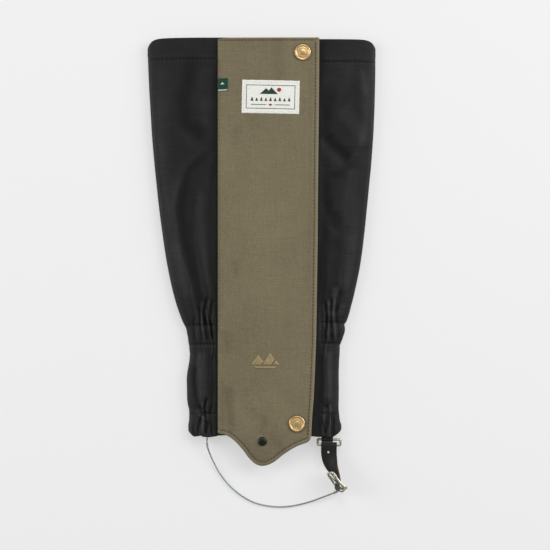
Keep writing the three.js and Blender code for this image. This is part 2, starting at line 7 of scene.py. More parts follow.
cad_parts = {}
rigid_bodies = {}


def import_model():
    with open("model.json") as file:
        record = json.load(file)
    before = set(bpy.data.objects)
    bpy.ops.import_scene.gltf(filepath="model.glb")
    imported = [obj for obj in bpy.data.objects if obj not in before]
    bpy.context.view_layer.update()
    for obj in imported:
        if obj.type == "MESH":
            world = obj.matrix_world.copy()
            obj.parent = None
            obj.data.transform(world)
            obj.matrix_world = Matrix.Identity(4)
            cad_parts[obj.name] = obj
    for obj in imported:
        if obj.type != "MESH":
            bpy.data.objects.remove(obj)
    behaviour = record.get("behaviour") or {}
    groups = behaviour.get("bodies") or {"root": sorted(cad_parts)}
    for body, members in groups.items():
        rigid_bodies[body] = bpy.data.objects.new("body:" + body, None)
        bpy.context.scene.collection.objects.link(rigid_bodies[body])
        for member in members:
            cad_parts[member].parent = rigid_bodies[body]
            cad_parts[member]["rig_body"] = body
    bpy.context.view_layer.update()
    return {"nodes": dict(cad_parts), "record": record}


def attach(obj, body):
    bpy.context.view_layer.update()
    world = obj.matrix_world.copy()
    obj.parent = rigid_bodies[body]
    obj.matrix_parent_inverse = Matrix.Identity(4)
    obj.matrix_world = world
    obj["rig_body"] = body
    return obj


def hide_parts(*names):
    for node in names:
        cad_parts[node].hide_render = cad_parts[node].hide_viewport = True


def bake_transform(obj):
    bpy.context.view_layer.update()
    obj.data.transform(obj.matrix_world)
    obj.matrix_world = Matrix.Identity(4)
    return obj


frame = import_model()
NODES = frame["nodes"]
scene = bpy.context.scene
RNG = np.random.RandomState(7)

# Everything below is in millimetres of the CAD drawing, before its shift to the footprint's centre.
OX, OY = 0.95, 1.7


def W(p):
    """Drawing millimetres to the row frame, in metres."""
    p = np.asarray(p, float)
    q = p.copy()
    q[..., 0] += OX
    q[..., 1] += OY
    return q * 0.001


# ------------------------------------------------------------------ camera
cam_data = bpy.data.cameras.new("camera")
cam_data.sensor_width = 36.0
cam_data.sensor_fit = "HORIZONTAL"
DIST = 2.5
cam_data.lens = 36.0 * DIST / 0.5225
cam_data.clip_start = 0.05
cam_data.clip_end = 20
cam_data.dof.use_dof = False
cam = bpy.data.objects.new("camera", cam_data)
cam.location = (0.0133, -0.0097, DIST + 0.010)
cam.rotation_euler = (0, 0, 0)
scene.collection.objects.link(cam)
scene.camera = cam

# ------------------------------------------------------------------ node helpers


def new_mat(name):
    m = bpy.data.materials.new(name)
    m.use_nodes = True
    nt = m.node_tree
    for n in list(nt.nodes):
        nt.nodes.remove(n)
    out = nt.nodes.new("ShaderNodeOutputMaterial")
    b = nt.nodes.new("ShaderNodeBsdfPrincipled")
    nt.links.new(b.outputs[0], out.inputs[0])
    return m, nt, b


def lin(c):
    c = [v / 255.0 for v in c]
    return [v / 12.92 if v <= 0.04045 else ((v + 0.055) / 1.055) ** 2.4 for v in c]


class G:
    """Small helper for node graphs."""

    def __init__(self, nt):
        self.nt = nt

    def node(self, kind, **kw):
        n = self.nt.nodes.new(kind)
        for k, v in kw.items():
            setattr(n, k, v)
        return n

    def link(self, a, b):
        self.nt.links.new(a, b)

    def coords(self, scale=(1, 1, 1), rot=(0, 0, 0), loc=(0, 0, 0)):
        t = self.node("ShaderNodeTexCoord")
        m = self.node("ShaderNodeMapping")
        m.inputs["Scale"].default_value = scale
        m.inputs["Rotation"].default_value = rot
        m.inputs["Location"].default_value = loc
        self.link(t.outputs["Object"], m.inputs["Vector"])
        return m.outputs[0]

    def math(self, op, a, b=None, c=None, clamp=False):
        n = self.node("ShaderNodeMath", operation=op, use_clamp=clamp)
        for i, v in enumerate((a, b, c)):
            if v is None:
                continue
            if isinstance(v, (int, float)):
                n.inputs[i].default_value = v
            else:
                self.link(v, n.inputs[i])
        return n.outputs[0]

    def noise(self, vec, scale, detail=3.0, rough=0.55, dist=0.0):
        n = self.node("ShaderNodeTexNoise")
        n.inputs["Scale"].default_value = scale
        n.inputs["Detail"].default_value = detail
        n.inputs["Roughness"].default_value = rough
        n.inputs["Distortion"].default_value = dist
        self.link(vec, n.inputs["Vector"])
        return n.outputs["Fac"]

    def ramp(self, fac, stops):
        n = self.node("ShaderNodeValToRGB")
        e = n.color_ramp.elements
        while len(e) < len(stops):
            e.new(0.5)
        for i, (p, c) in enumerate(stops):
            e[i].position = p
            e[i].color = (*c, 1) if len(c) == 3 else c
        self.link(fac, n.inputs[0])
        return n.outputs[0]

    def mix(self, fac, a, b, kind="MIX"):
        n = self.node("ShaderNodeMix", data_type="RGBA", blend_type=kind)
        if isinstance(fac, (int, float)):
            n.inputs[0].default_value = fac
        else:
            self.link(fac, n.inputs[0])
        for sock, v in ((n.inputs[6], a), (n.inputs[7], b)):
            if isinstance(v, (list, tuple)):
                sock.default_value = (*v[:3], 1)
            else:
                self.link(v, sock)
        return n.outputs[2]

    def attr(self, name):
        n = self.node("ShaderNodeAttribute", attribute_name=name)
        return n.outputs["Fac"]

    def bump(self, height, strength, distance, normal=None):
        n = self.node("ShaderNodeBump")
        n.inputs["Strength"].default_value = strength
        n.inputs["Distance"].default_value = distance
        self.link(height, n.inputs["Height"])
        if normal is not None:
            self.link(normal, n.inputs["Normal"])
        return n.outputs[0]


def weave_height(g, pitch_x, pitch_y, rot=0.0, wobble=0.12):
    """Plain weave as a height from 0 to 1, in object space."""
    v = g.coords(rot=(0, 0, rot))
    nz = g.noise(v, 900.0, 2.0)
    s = g.node("ShaderNodeSeparateXYZ")
    g.link(v, s.inputs[0])
    wob = g.math("MULTIPLY", g.math("SUBTRACT", nz, 0.5), wobble * 6.28 * 2)
    ax = g.math("ADD", g.math("MULTIPLY", s.outputs[0], 6.28318 / pitch_x), wob)
    ay = g.math("ADD", g.math("MULTIPLY", s.outputs[1], 6.28318 / pitch_y), wob)
    az = g.math("MULTIPLY", s.outputs[2], 6.28318 / pitch_x)
    sx = g.math("SINE", g.math("ADD", ax, az))
    sy = g.math("SINE", ay)
    p = g.math("MULTIPLY", sx, sy)
    # threads are rounded: raise each float
    return g.math("MULTIPLY_ADD", p, 0.5, 0.5)


def cloth_mat(name, base, light, dark, pitch=0.0006, rough=0.8, sheen=0.0, sheen_rough=0.5, bump=0.35, spec=0.3,
              slub=0.35, mottle=0.3, wear=None, sheen_tint=(1, 1, 1), dist=0.00012, painted_light_and_shade_gain=0.7, slub_gain=1.0, grain=0.5):
    m, nt, b = new_mat(name)
    g = G(nt)
    h = weave_height(g, pitch * 2, pitch * 2)
    v = g.coords()
    streak_h = g.noise(g.coords(scale=(45, 1500, 45)), 1.0, 3.0, 0.6)
    streak_v = g.noise(g.coords(scale=(1500, 45, 1500)), 1.0, 3.0, 0.6)
    patch = g.noise(v, 26.0, 4.0, 0.6)
    fine = g.noise(v, 420.0, 3.0, 0.6)
    s = g.math("ADD", g.math("MULTIPLY", streak_h, 0.55), g.math("MULTIPLY", streak_v, 0.45))
    f1 = g.ramp(s, [(0.36, (0, 0, 0)), (0.64, (1, 1, 1))])
    c = g.mix(g.math("MULTIPLY", f1, slub), base, light)
    f2 = g.ramp(patch, [(0.40, (1, 1, 1)), (0.66, (0, 0, 0))])
    c = g.mix(g.math("MULTIPLY", f2, mottle), c, dark)
    f3 = g.math("MULTIPLY", g.math("SUBTRACT", 1.0, h), 0.45)
    c = g.mix(f3, c, dark)
    coarse = g.noise(g.coords(scale=(60, 900, 60)), 1.0, 2.0, 0.7)
    coarse2 = g.noise(g.coords(scale=(900, 60, 900)), 1.0, 2.0, 0.7)
    cc = g.math("MULTIPLY_ADD", g.math("ADD", coarse, coarse2), 1.0, -1.0)
    speck = g.math("MULTIPLY_ADD", g.noise(v, 620.0, 2.0, 0.75), grain, -0.5 * grain)
    # painted light and shade from the mesh attribute, plus coarse streaks and specks of grain
    painted_light_and_shade_tone = g.math("MULTIPLY_ADD", g.attr("painted_light_and_shade_tone"), painted_light_and_shade_gain, g.math("MULTIPLY_ADD", cc, slub_gain, speck))
    mult = g.math("POWER", 2.0, painted_light_and_shade_tone)
    vm = g.node("ShaderNodeVectorMath", operation="SCALE")
    g.link(c, vm.inputs[0])
    g.link(mult, vm.inputs["Scale"])
    c = vm.outputs[0]
    if wear is not None:
        w = g.math("MULTIPLY", g.attr("wear"), g.math("MULTIPLY_ADD", fine, 0.9, 0.35, clamp=True))
        c = g.mix(w, c, wear)
    g.link(c, b.inputs["Base Color"])
    rr = g.math("MULTIPLY_ADD", fine, 0.18, rough - 0.09)
    g.link(rr, b.inputs["Roughness"])
    b.inputs["Specular IOR Level"].default_value = spec
    if sheen:
        b.inputs["Sheen Weight"].default_value = sheen
        b.inputs["Sheen Roughness"].default_value = sheen_rough
        b.inputs["Sheen Tint"].default_value = (*sheen_tint, 1)
    hh = g.math("ADD", g.math("MULTIPLY", h, 0.7), g.math("MULTIPLY", s, 0.6))
    g.link(g.bump(hh, bump, dist), b.inputs["Normal"])
    return m


def metal_mat(name, base, dark, rough=0.25, scratch=0.25, aging=0.5, metallic=1.0):
    m, nt, b = new_mat(name)
    g = G(nt)
    v = g.coords()
    n1 = g.noise(v, 260.0, 4.0, 0.65)
    n2 = g.noise(g.coords(scale=(300, 2600, 300)), 1.0, 2.0, 0.5)
    f = g.ramp(n1, [(0.42, (0, 0, 0)), (0.72, (1, 1, 1))])
    c = g.mix(g.math("MULTIPLY", f, aging), base, dark)
    g.link(c, b.inputs["Base Color"])
    b.inputs["Metallic"].default_value = metallic
    g.link(g.math("MULTIPLY_ADD", n1, 0.22, rough - 0.08), b.inputs["Roughness"])
    g.link(g.bump(g.math("ADD", n1, n2), scratch, 0.00004), b.inputs["Normal"])
    return m


BLACK = lin((38, 38, 41))
MAT = {}
MAT["shell_cloth"] = cloth_mat("shell_cloth", lin((25, 25, 26)), lin((42, 41, 42)), lin((13, 13, 13)), pitch=0.00045,
                               rough=0.56, sheen=0.0, bump=0.28, spec=0.24, slub=0.55, mottle=0.15, slub_gain=0.7, painted_light_and_shade_gain=1.35, grain=0.9)
MAT["flap_cloth"] = cloth_mat("flap_cloth", lin((128, 118, 93)), lin((142, 132, 106)), lin((100, 92, 70)), pitch=0.00055,
                              rough=0.86, sheen=0.08, bump=0.5, spec=0.22, slub=0.5, mottle=0.16, wear=lin((146, 137, 112)), slub_gain=0.42,
                              painted_light_and_shade_gain=0.5, grain=0.95)
MAT["lining_cloth"] = cloth_mat("lining_cloth", lin((44, 43, 38)), lin((58, 56, 50)), lin((26, 25, 22)), rough=0.7, bump=0.3)
MAT["label_cloth"] = cloth_mat("label_cloth", lin((248, 248, 240)), lin((252, 252, 247)), lin((228, 228, 219)), slub_gain=0.15, pitch=0.00028,
                               rough=0.78, bump=0.4, spec=0.25, slub=0.4, mottle=0.2, dist=0.00008)
MAT["tab_cloth"] = cloth_mat("tab_cloth", lin((8, 70, 54)), lin((22, 90, 72)), lin((4, 44, 34)), pitch=0.00028, rough=0.6,
                             bump=0.4, spec=0.35, dist=0.00008)
MAT["embroidery"] = cloth_mat("embroidery", lin((168, 150, 108)), lin((190, 172, 130)), lin((128, 112, 76)), pitch=0.0002,
                              rough=0.5, sheen=0.2, bump=0.25, spec=0.5, dist=0.00005)
MAT["elastic_tape"] = cloth_mat("elastic_tape", lin((30, 30, 32)), lin((46, 46, 48)), lin((14, 14, 15)), pitch=0.0008, rough=0.85,
                                bump=0.7, spec=0.2, dist=0.0003)
MAT["thread_black"] = cloth_mat("thread_black", lin((22, 22, 24)), lin((40, 40, 43)), lin((10, 10, 11)), pitch=0.0002, rough=0.6,
                                bump=0.2, spec=0.4, dist=0.00005)
MAT["thread_olive"] = cloth_mat("thread_olive", lin((52, 46, 30)), lin((70, 62, 44)), lin((34, 30, 19)), pitch=0.0002, rough=0.6,
                                bump=0.2, spec=0.4, dist=0.00005)
MAT["thread_white"] = cloth_mat("thread_white", lin((232, 233, 226)), lin((246, 246, 240)), lin((206, 206, 198)), pitch=0.0002,
                                rough=0.6, bump=0.2, spec=0.4, dist=0.00005)
MAT["thread_green"] = cloth_mat("thread_green", lin((36, 70, 60)), lin((54, 92, 80)), lin((20, 46, 38)), pitch=0.0002,
                                rough=0.6, bump=0.2, spec=0.4, dist=0.00005)
MAT["thread_grey"] = cloth_mat("thread_grey", lin((112, 126, 120)), lin((134, 146, 140)), lin((88, 100, 94)), pitch=0.0002,
                               rough=0.6, bump=0.2, spec=0.4, dist=0.00005)
MAT["thread_rust"] = cloth_mat("thread_rust", lin((176, 62, 40)), lin((196, 84, 58)), lin((140, 44, 28)), pitch=0.0002,
                               rough=0.6, bump=0.2, spec=0.4, dist=0.00005)
MAT["snap_brass"] = metal_mat("snap_brass", lin((244, 208, 150)), lin((190, 146, 92)), rough=0.34, scratch=0.2, aging=0.35)
MAT["stud_metal"] = metal_mat("stud_metal", lin((200, 198, 190)), lin((130, 128, 120)), rough=0.3)
MAT["black_metal"] = metal_mat("black_metal", lin((26, 27, 30)), lin((12, 12, 14)), rough=0.3, metallic=0.35, aging=0.3)
MAT["ring_steel"] = metal_mat("ring_steel", lin((198, 194, 178)), lin((120, 112, 92)), rough=0.24, scratch=0.12, aging=0.35)
MAT["cable_steel"] = metal_mat("cable_steel", lin((168, 178, 172)), lin((104, 112, 108)), rough=0.34, scratch=0.15, aging=0.4, metallic=0.75)


def leather_mat():
    m, nt, b = new_mat("strap_leather")
    g = G(nt)
    v = g.coords()
    vor = g.node("ShaderNodeTexVoronoi", feature="DISTANCE_TO_EDGE")
    vor.inputs["Scale"].default_value = 1400.0
    g.link(v, vor.inputs["Vector"])
    n = g.noise(v, 500.0, 4.0, 0.6)
    n2 = g.noise(v, 90.0, 3.0, 0.5)
    c = g.mix(n2, lin((23, 22, 21)), lin((36, 35, 33)))
    edge = g.attr("cut_edge")
    brown = g.mix(n, lin((112, 88, 60)), lin((66, 48, 30)))
    c = g.mix(edge, c, brown)
    g.link(c, b.inputs["Base Color"])
    g.link(g.math("MULTIPLY_ADD", n, 0.25, 0.42), b.inputs["Roughness"])
    b.inputs["Specular IOR Level"].default_value = 0.26
    h = g.math("ADD", g.math("MULTIPLY", g.math("MINIMUM", vor.outputs["Distance"], 0.12), 5.0), g.math("MULTIPLY", n, 0.5))
    g.link(g.bump(h, 0.35, 0.00012), b.inputs["Normal"])
    return m


MAT["strap_leather"] = leather_mat()


def tape_mat(name, base, light, scale):
    m, nt, b = new_mat(name)
    g = G(nt)
    v = g.coords()
    vor = g.node("ShaderNodeTexVoronoi")
    vor.inputs["Scale"].default_value = scale
    g.link(v, vor.inputs["Vector"])
    n = g.noise(v, 800.0, 3.0, 0.7)
    c = g.mix(g.math("MULTIPLY", n, 0.7), base, light)
    g.link(c, b.inputs["Base Color"])
    b.inputs["Roughness"].default_value = 0.85
    b.inputs["Specular IOR Level"].default_value = 0.25
    g.link(g.bump(g.math("ADD", vor.outputs["Distance"], n), 0.9, 0.0004), b.inputs["Normal"])
    return m


MAT["hook_side"] = tape_mat("hook_side", lin((24, 24, 25)), lin((46, 46, 48)), 1500.0)
MAT["loop_side"] = tape_mat("loop_side", lin((30, 29, 28)), lin((60, 58, 55)), 900.0)

# ------------------------------------------------------------------ mesh helpers


def mesh_obj(name, verts, faces, mat, smooth=True, attrs=None):
    me = bpy.data.meshes.new(name)
    v = W(np.asarray(verts, float).reshape(-1, 3))
    me.from_pydata(v.tolist(), [], [tuple(int(i) for i in f) for f in faces])
    me.validate()
    if smooth:
        me.polygons.foreach_set("use_smooth", [True] * len(me.polygons))
    for k, a in (attrs or {}).items():
        at = me.attributes.new(k, "FLOAT", "POINT")
        at.data.foreach_set("value", np.asarray(a, np.float32).ravel())
    me.materials.append(MAT[mat])
    me.update()
    o = bpy.data.objects.new(name, me)
    scene.collection.objects.link(o)
    return o


def grid_normals(P):
    du = np.gradient(P, axis=1)
    dv = np.gradient(P, axis=0)
    n = np.cross(du, dv)
    n /= np.linalg.norm(n, axis=-1, keepdims=True) + 1e-12
    return n


def shell(name, top, bot, mat, attrs=None, rim=0.35):
    """A closed sheet between two grids, with a rounded rim."""
    R, C, _ = top.shape
    idx = np.arange(R * C).reshape(R, C)
    n = R * C
    verts = [top.reshape(-1, 3), bot.reshape(-1, 3)]
    a, b, c, d = idx[:-1, :-1].ravel(), idx[:-1, 1:].ravel(), idx[1:, 1:].ravel(), idx[1:, :-1].ravel()
    faces = [np.stack([a, d, c, b], 1), np.stack([a, b, c, d], 1) + n]
    loop = [(0, j) for j in range(C)] + [(i, C - 1) for i in range(1, R)] + [(R - 1, j) for j in range(C - 2, -1, -1)] + [
        (i, 0) for i in range(R - 2, 0, -1)]
    inner = []
    for i, j in loop:
        inner.append((min(max(i, 1), R - 2), min(max(j, 1), C - 2)))
    li = np.array([idx[p] for p in loop])
    tp = np.array([top[p] for p in loop])
    bp = np.array([bot[p] for p in loop])
    ip = np.array([top[p] for p in inner])
    out = tp - ip
    out /= np.linalg.norm(out, axis=1, keepdims=True) + 1e-9
    t = np.linalg.norm(tp - bp, axis=1, keepdims=True)
    mid = (tp + bp) / 2 + out * t * rim
    verts.append(mid)
    m0 = 2 * n
    k = len(loop)
    i0 = np.arange(k)
    i1 = (i0 + 1) % k
    faces.append(np.stack([li[i0], li[i1], m0 + i1, m0 + i0], 1))
    faces.append(np.stack([m0 + i0, m0 + i1, n + li[i1], n + li[i0]], 1))
    verts = np.concatenate(verts)
    faces = np.concatenate(faces)
    full = {}
    for key, val in (attrs or {}).items():
        v = np.asarray(val, float).reshape(-1)
        full[key] = np.concatenate([v, v, v[li]])
    o = mesh_obj(name, verts, faces, mat, attrs=full)
    bm_fix(o)
    return o


def bm_fix(o):
    import bmesh
    bm = bmesh.new()
    bm.from_mesh(o.data)
    bmesh.ops.recalc_face_normals(bm, faces=bm.faces)
    bm.to_mesh(o.data)
    bm.free()
    o.data.update()


def sweep(name, path, radius, mat, closed=False, segs=14, scale=None, ref=(0, 0, 1)):
    """A round bar along a path. radius may be a number per point; scale is (across, along the reference) for an oval bar."""
    P = np.asarray(path, float)
    n = len(P)
    if closed:
        T = np.roll(P, -1, 0) - np.roll(P, 1, 0)
    else:
        T = np.gradient(P, axis=0)
    T /= np.linalg.norm(T, axis=1, keepdims=True)
    r = np.broadcast_to(np.asarray(radius, float), (n,))
    N = np.zeros_like(P)
    ref = np.asarray(ref, float)
    v = ref - T[0] * np.dot(ref, T[0])
    if np.linalg.norm(v) < 1e-3:
        v = np.array([1.0, 0, 0]) - T[0] * T[0][0]
    N[0] = v / np.linalg.norm(v)
    for i in range(1, n):
        v = N[i - 1] - T[i] * np.dot(N[i - 1], T[i])
        N[i] = v / np.linalg.norm(v)
    if closed:  # spread the twist of the frame
        v = N[-1] - T[0] * np.dot(N[-1], T[0])
        v /= np.linalg.norm(v)
        ang = math.atan2(np.dot(np.cross(N[0], v), T[0]), np.dot(N[0], v))
        for i in range(n):
            a = -ang * i / n
            B = np.cross(T[i], N[i])
            N[i] = N[i] * math.cos(a) + B * math.sin(a)
    B = np.cross(T, N)
    a = np.linspace(0, 2 * np.pi, segs, endpoint=False)
    sx, sy = scale or (1, 1)
    V = P[:, None, :] + r[:, None, None] * (
        N[:, None, :] * np.cos(a)[None, :, None] * sy + B[:, None, :] * np.sin(a)[None, :, None] * sx)
    verts = V.reshape(-1, 3)
    faces = []
    m = n if closed else n - 1
    for i in range(m):
        i2 = (i + 1) % n
        for j in range(segs):
            j2 = (j + 1) % segs
            faces.append((i * segs + j, i2 * segs + j, i2 * segs + j2, i * segs + j2))
    if not closed:
        c0, c1 = len(verts), len(verts) + 1
        e0 = P[0] - T[0] * r[0] * 0.35
        e1 = P[-1] + T[-1] * r[-1] * 0.35
        verts = np.concatenate([verts, [e0, e1]])
        for j in range(segs):
            j2 = (j + 1) % segs
            faces.append((c0, j, j2))
            faces.append((c1, (n - 1) * segs + j2, (n - 1) * segs + j))
    o = mesh_obj(name, verts, faces, mat)
    bm_fix(o)
    return o


def lathe(name, profile, centre, mat, segs=72, axis=None, rough_profile=True):
    """Turned about +Z at centre (or about the frame in axis). Profile points are [radius, z]; it starts and ends on the axis or closes."""
    pr = np.asarray(profile, float)
    closed = np.allclose(pr[0], pr[-1])
    if closed:
        pr = pr[:-1]
    a = np.linspace(0, 2 * np.pi, segs, endpoint=False)
    X, Y, Z = axis if axis is not None else (np.array([1.0, 0, 0]), np.array([0, 1.0, 0]), np.array([0, 0, 1.0]))
    c = np.asarray(centre, float)
    verts, ring = [], []
    for r, z in pr:
        if r < 1e-6:
            ring.append([len(verts)])
            verts.append(c + Z * z)
        else:
            s = len(verts)
            ring.append(list(range(s, s + segs)))
            for q in a:
                verts.append(c + X * r * math.cos(q) + Y * r * math.sin(q) + Z * z)
    faces = []
    k = len(pr)
    for i in range(k if closed else k - 1):
        A, B = ring[i], ring[(i + 1) % k]
        for j in range(segs):
            j2 = (j + 1) % segs
            if len(A) == 1 and len(B) == 1:
                continue
            if len(A) == 1:
                faces.append((A[0], B[j], B[j2]))
            elif len(B) == 1:
                faces.append((A[j], B[0], A[j2]))
            else:
                faces.append((A[j], B[j], B[j2], A[j2]))
    o = mesh_obj(name, verts, faces, mat)
    bm_fix(o)
    return o


def round_profile(pts, r=0.25, n=4):
    """Rounds the corners of a profile."""
    pts = [np.array(p, float) for p in pts]
    closed = np.allclose(pts[0], pts[-1])
    if closed:
        pts = pts[:-1]
    out = []
    m = len(pts)
    for i in range(m):
        p = pts[i]
        if not closed and (i == 0 or i == m - 1):
            out.append(p)
            continue
        a, b = pts[i - 1], pts[(i + 1) % m]
        la, lb = np.linalg.norm(a - p), np.linalg.norm(b - p)
        rr = min(r, la * 0.45, lb * 0.45)
        s, e = p + (a - p) / la * rr, p + (b - p) / lb * rr
        for k in range(n + 1):
            t = k / n
            out.append((1 - t) ** 2 * s + 2 * t * (1 - t) * p + t * t * e)
    if closed:
        out.append(out[0])
    return out


def resample(poly, step):
    poly = np.asarray(poly, float)
    seg = np.linalg.norm(np.diff(poly, axis=0), axis=1)
    s = np.concatenate([[0], np.cumsum(seg)])
    n = max(2, int(s[-1] / step) + 1)
    q = np.linspace(0, s[-1], n)
    return np.stack([np.interp(q, s, poly[:, k]) for k in range(poly.shape[1])], 1)


def catmull(points, n):
    """A smooth curve through points."""
    P = np.asarray(points, float)
    k = len(P)
    seg = np.linalg.norm(np.diff(P[:, :3], axis=0), axis=1) ** 0.5
    t = np.concatenate([[0], np.cumsum(seg)])
    m = np.zeros_like(P)
    for i in range(k):
        if i == 0:
            m[i] = (P[1] - P[0]) / (t[1] - t[0])
        elif i == k - 1:
            m[i] = (P[-1] - P[-2]) / (t[-1] - t[-2])
        else:
            a = (P[i] - P[i - 1]) / (t[i] - t[i - 1])
            b = (P[i + 1] - P[i]) / (t[i + 1] - t[i])
            wa, wb = t[i + 1] - t[i], t[i] - t[i - 1]
            m[i] = (a * wa + b * wb) / (wa + wb)
    out = []
    for q in np.linspace(0, t[-1], n):
        i = min(k - 2, max(0, int(np.searchsorted(t, q, side="right") - 1)))
        h = t[i + 1] - t[i]
        u = (q - t[i]) / h
        out.append((2 * u ** 3 - 3 * u ** 2 + 1) * P[i] + (u ** 3 - 2 * u ** 2 + u) * h * m[i] + (-2 * u ** 3 + 3 * u ** 2) * P[i + 1]
                   + (u ** 3 - u ** 2) * h * m[i + 1])
    return np.array(out)


def stitches(name, paths, mat, length=2.0, gap=0.55, r=0.26, lift=0.08):
    """Thread along paths. Each path is (points, normals)."""
    ring_t = np.array([-0.5, -0.42, -0.2, 0.2, 0.42, 0.5])
    ring_r = np.array([0.12, 0.7, 1.0, 1.0, 0.7, 0.12])
    ring_h = np.array([-1.2, -0.25, 0.35, 0.35, -0.25, -1.2])
    ns = 7
    a = np.linspace(0, 2 * np.pi, ns, endpoint=False)
    verts, faces = [], []
    rng = np.random.RandomState(len(name) * 17 + 3)
    for pts, nrm in paths:
        pts = np.asarray(pts, float)
        nrm = np.asarray(nrm, float)
        seg = np.linalg.norm(np.diff(pts, axis=0), axis=1)
        s = np.concatenate([[0], np.cumsum(seg)])
        q = gap
        while q + length < s[-1]:
            c0, c1 = q, q + length * (1 + 0.06 * rng.randn())
            p0 = np.array([np.interp(c0, s, pts[:, k]) for k in range(3)])
            p1 = np.array([np.interp(c1, s, pts[:, k]) for k in range(3)])
            pm = (p0 + p1) / 2
            N = np.array([np.interp((c0 + c1) / 2, s, nrm[:, k]) for k in range(3)])
            T = p1 - p0
            L = np.linalg.norm(T)
            T /= L
            N = N - T * np.dot(N, T)
            N /= np.linalg.norm(N) + 1e-9
            B = np.cross(T, N)
            mid = np.array([np.interp((c0 + c1) / 2, s, pts[:, k]) for k in range(3)])
            base = len(verts)
            for t, rr, hh in zip(ring_t, ring_r, ring_h):
                c = pm + T * t * L + (mid - pm) * (1 - abs(2 * t)) + N * (lift + r * 0.5 * hh)
                for x in a:
                    verts.append(c + (N * math.cos(x) + B * math.sin(x)) * r * rr)
            m = len(ring_t)
            for i in range(m - 1):
                for j in range(ns):
                    j2 = (j + 1) % ns
                    faces.append((base + i * ns + j, base + (i + 1) * ns + j, base + (i + 1) * ns + j2, base + i * ns + j2))
            faces.append(tuple(base + j for j in range(ns))[::-1])
            faces.append(tuple(base + (m - 1) * ns + j for j in range(ns)))
            q += length + gap
    o = mesh_obj(name, verts, faces, mat)
    bm_fix(o)
    return o


def smooth01(t):
    t = np.clip(t, 0, 1)
    return t * t * (3 - 2 * t)


def seg_dist(x, y, line):
    """Distance to a polyline, and which side: positive on its left when walking along it."""
    best = np.full(np.shape(x), 1e9)
    side = np.zeros(np.shape(x))
    along = np.zeros(np.shape(x))
    line = np.asarray(line, float)
    L = np.linalg.norm(np.diff(line, axis=0), axis=1)
    tot, run = L.sum(), 0.0
    for (x0, y0), (x1, y1), l in zip(line[:-1], line[1:], L):
        dx, dy = x1 - x0, y1 - y0
        t = np.clip(((x - x0) * dx + (y - y0) * dy) / (l * l), 0, 1)
        px, py = x0 + t * dx, y0 + t * dy
        d = np.hypot(x - px, y - py)
        m = d < best
        best = np.where(m, d, best)
        side = np.where(m, np.sign((x - x0) * -dy + (y - y0) * dx), side)
        along = np.where(m, (run + t * l) / tot, along)
        run += l
    return best, side, along


# ------------------------------------------------------------------ the side panels
FINE = np.array([
    (215.0, -109.0, 108.1), (203.8, -109.0, 108.1), (201.9, -109.1, 108.1), (198.1, -108.8, 108.0), (192.4, -108.6, 107.9), (182.9, -108.3, 108.0),
    (173.4, -107.8, 107.8), (163.9, -107.4, 107.6), (154.4, -106.8, 107.4), (144.9, -106.3, 107.1), (135.4, -105.7, 106.6),
    (125.9, -105.2, 106.3), (116.4, -104.5, 105.7), (106.9, -103.7, 105.0), (97.4, -102.8, 104.3), (87.9, -101.9, 103.5),
    (78.4, -100.9, 102.5), (68.9, -99.9, 101.6), (59.4, -98.9, 100.7), (49.9, -97.8, 99.7), (40.4, -96.6, 98.8), (30.9, -95.3, 97.8),
    (21.4, -94.0, 96.7), (11.9, -92.6, 95.6), (2.4, -91.1, 94.2), (-7.1, -89.3, 92.7), (-16.6, -87.4, 90.7), (-26.1, -85.2, 88.6),
    (-35.6, -82.7, 86.4), (-41.3, -81.0, 84.8), (-47.0, -79.0, 83.4), (-52.7, -76.9, 81.6), (-55.6, -75.7, 80.5), (-58.4, -74.3, 78.3),
    (-61.3, -72.7, 79.0), (-64.1, -71.9, 79.1), (-67.0, -71.4, 78.4), (-69.8, -70.8, 77.4), (-72.7, -70.4, 76.5), (-75.5, -70.1, 75.3),
    (-78.4, -69.4, 74.0), (-81.2, -69.3, 74.1), (-86.9, -68.7, 73.9), (-92.6, -69.2, 73.5), (-98.3, -70.2, 73.3), (-104.0, -71.2, 73.1),
    (-109.7, -71.8, 73.1), (-118.3, -71.6, 73.2), (-129.7, -71.4, 73.1), (-135.4, -70.6, 73.0), (-138.2, -69.7, 73.0),
    (-141.1, -69.4, 73.2), (-143.9, -69.3, 73.4), (-149.6, -69.5, 74.1), (-152.5, -69.8, 74.5), (-155.3, -70.2, 75.2),
    (-160.0, -70.3, 75.6), (-170.0, -70.0, 75.6)])
FINE = FINE[::-1]


def XE(side, y):
    return np.interp(y, FINE[:, 0], FINE[:, 1 if side < 0 else 2])


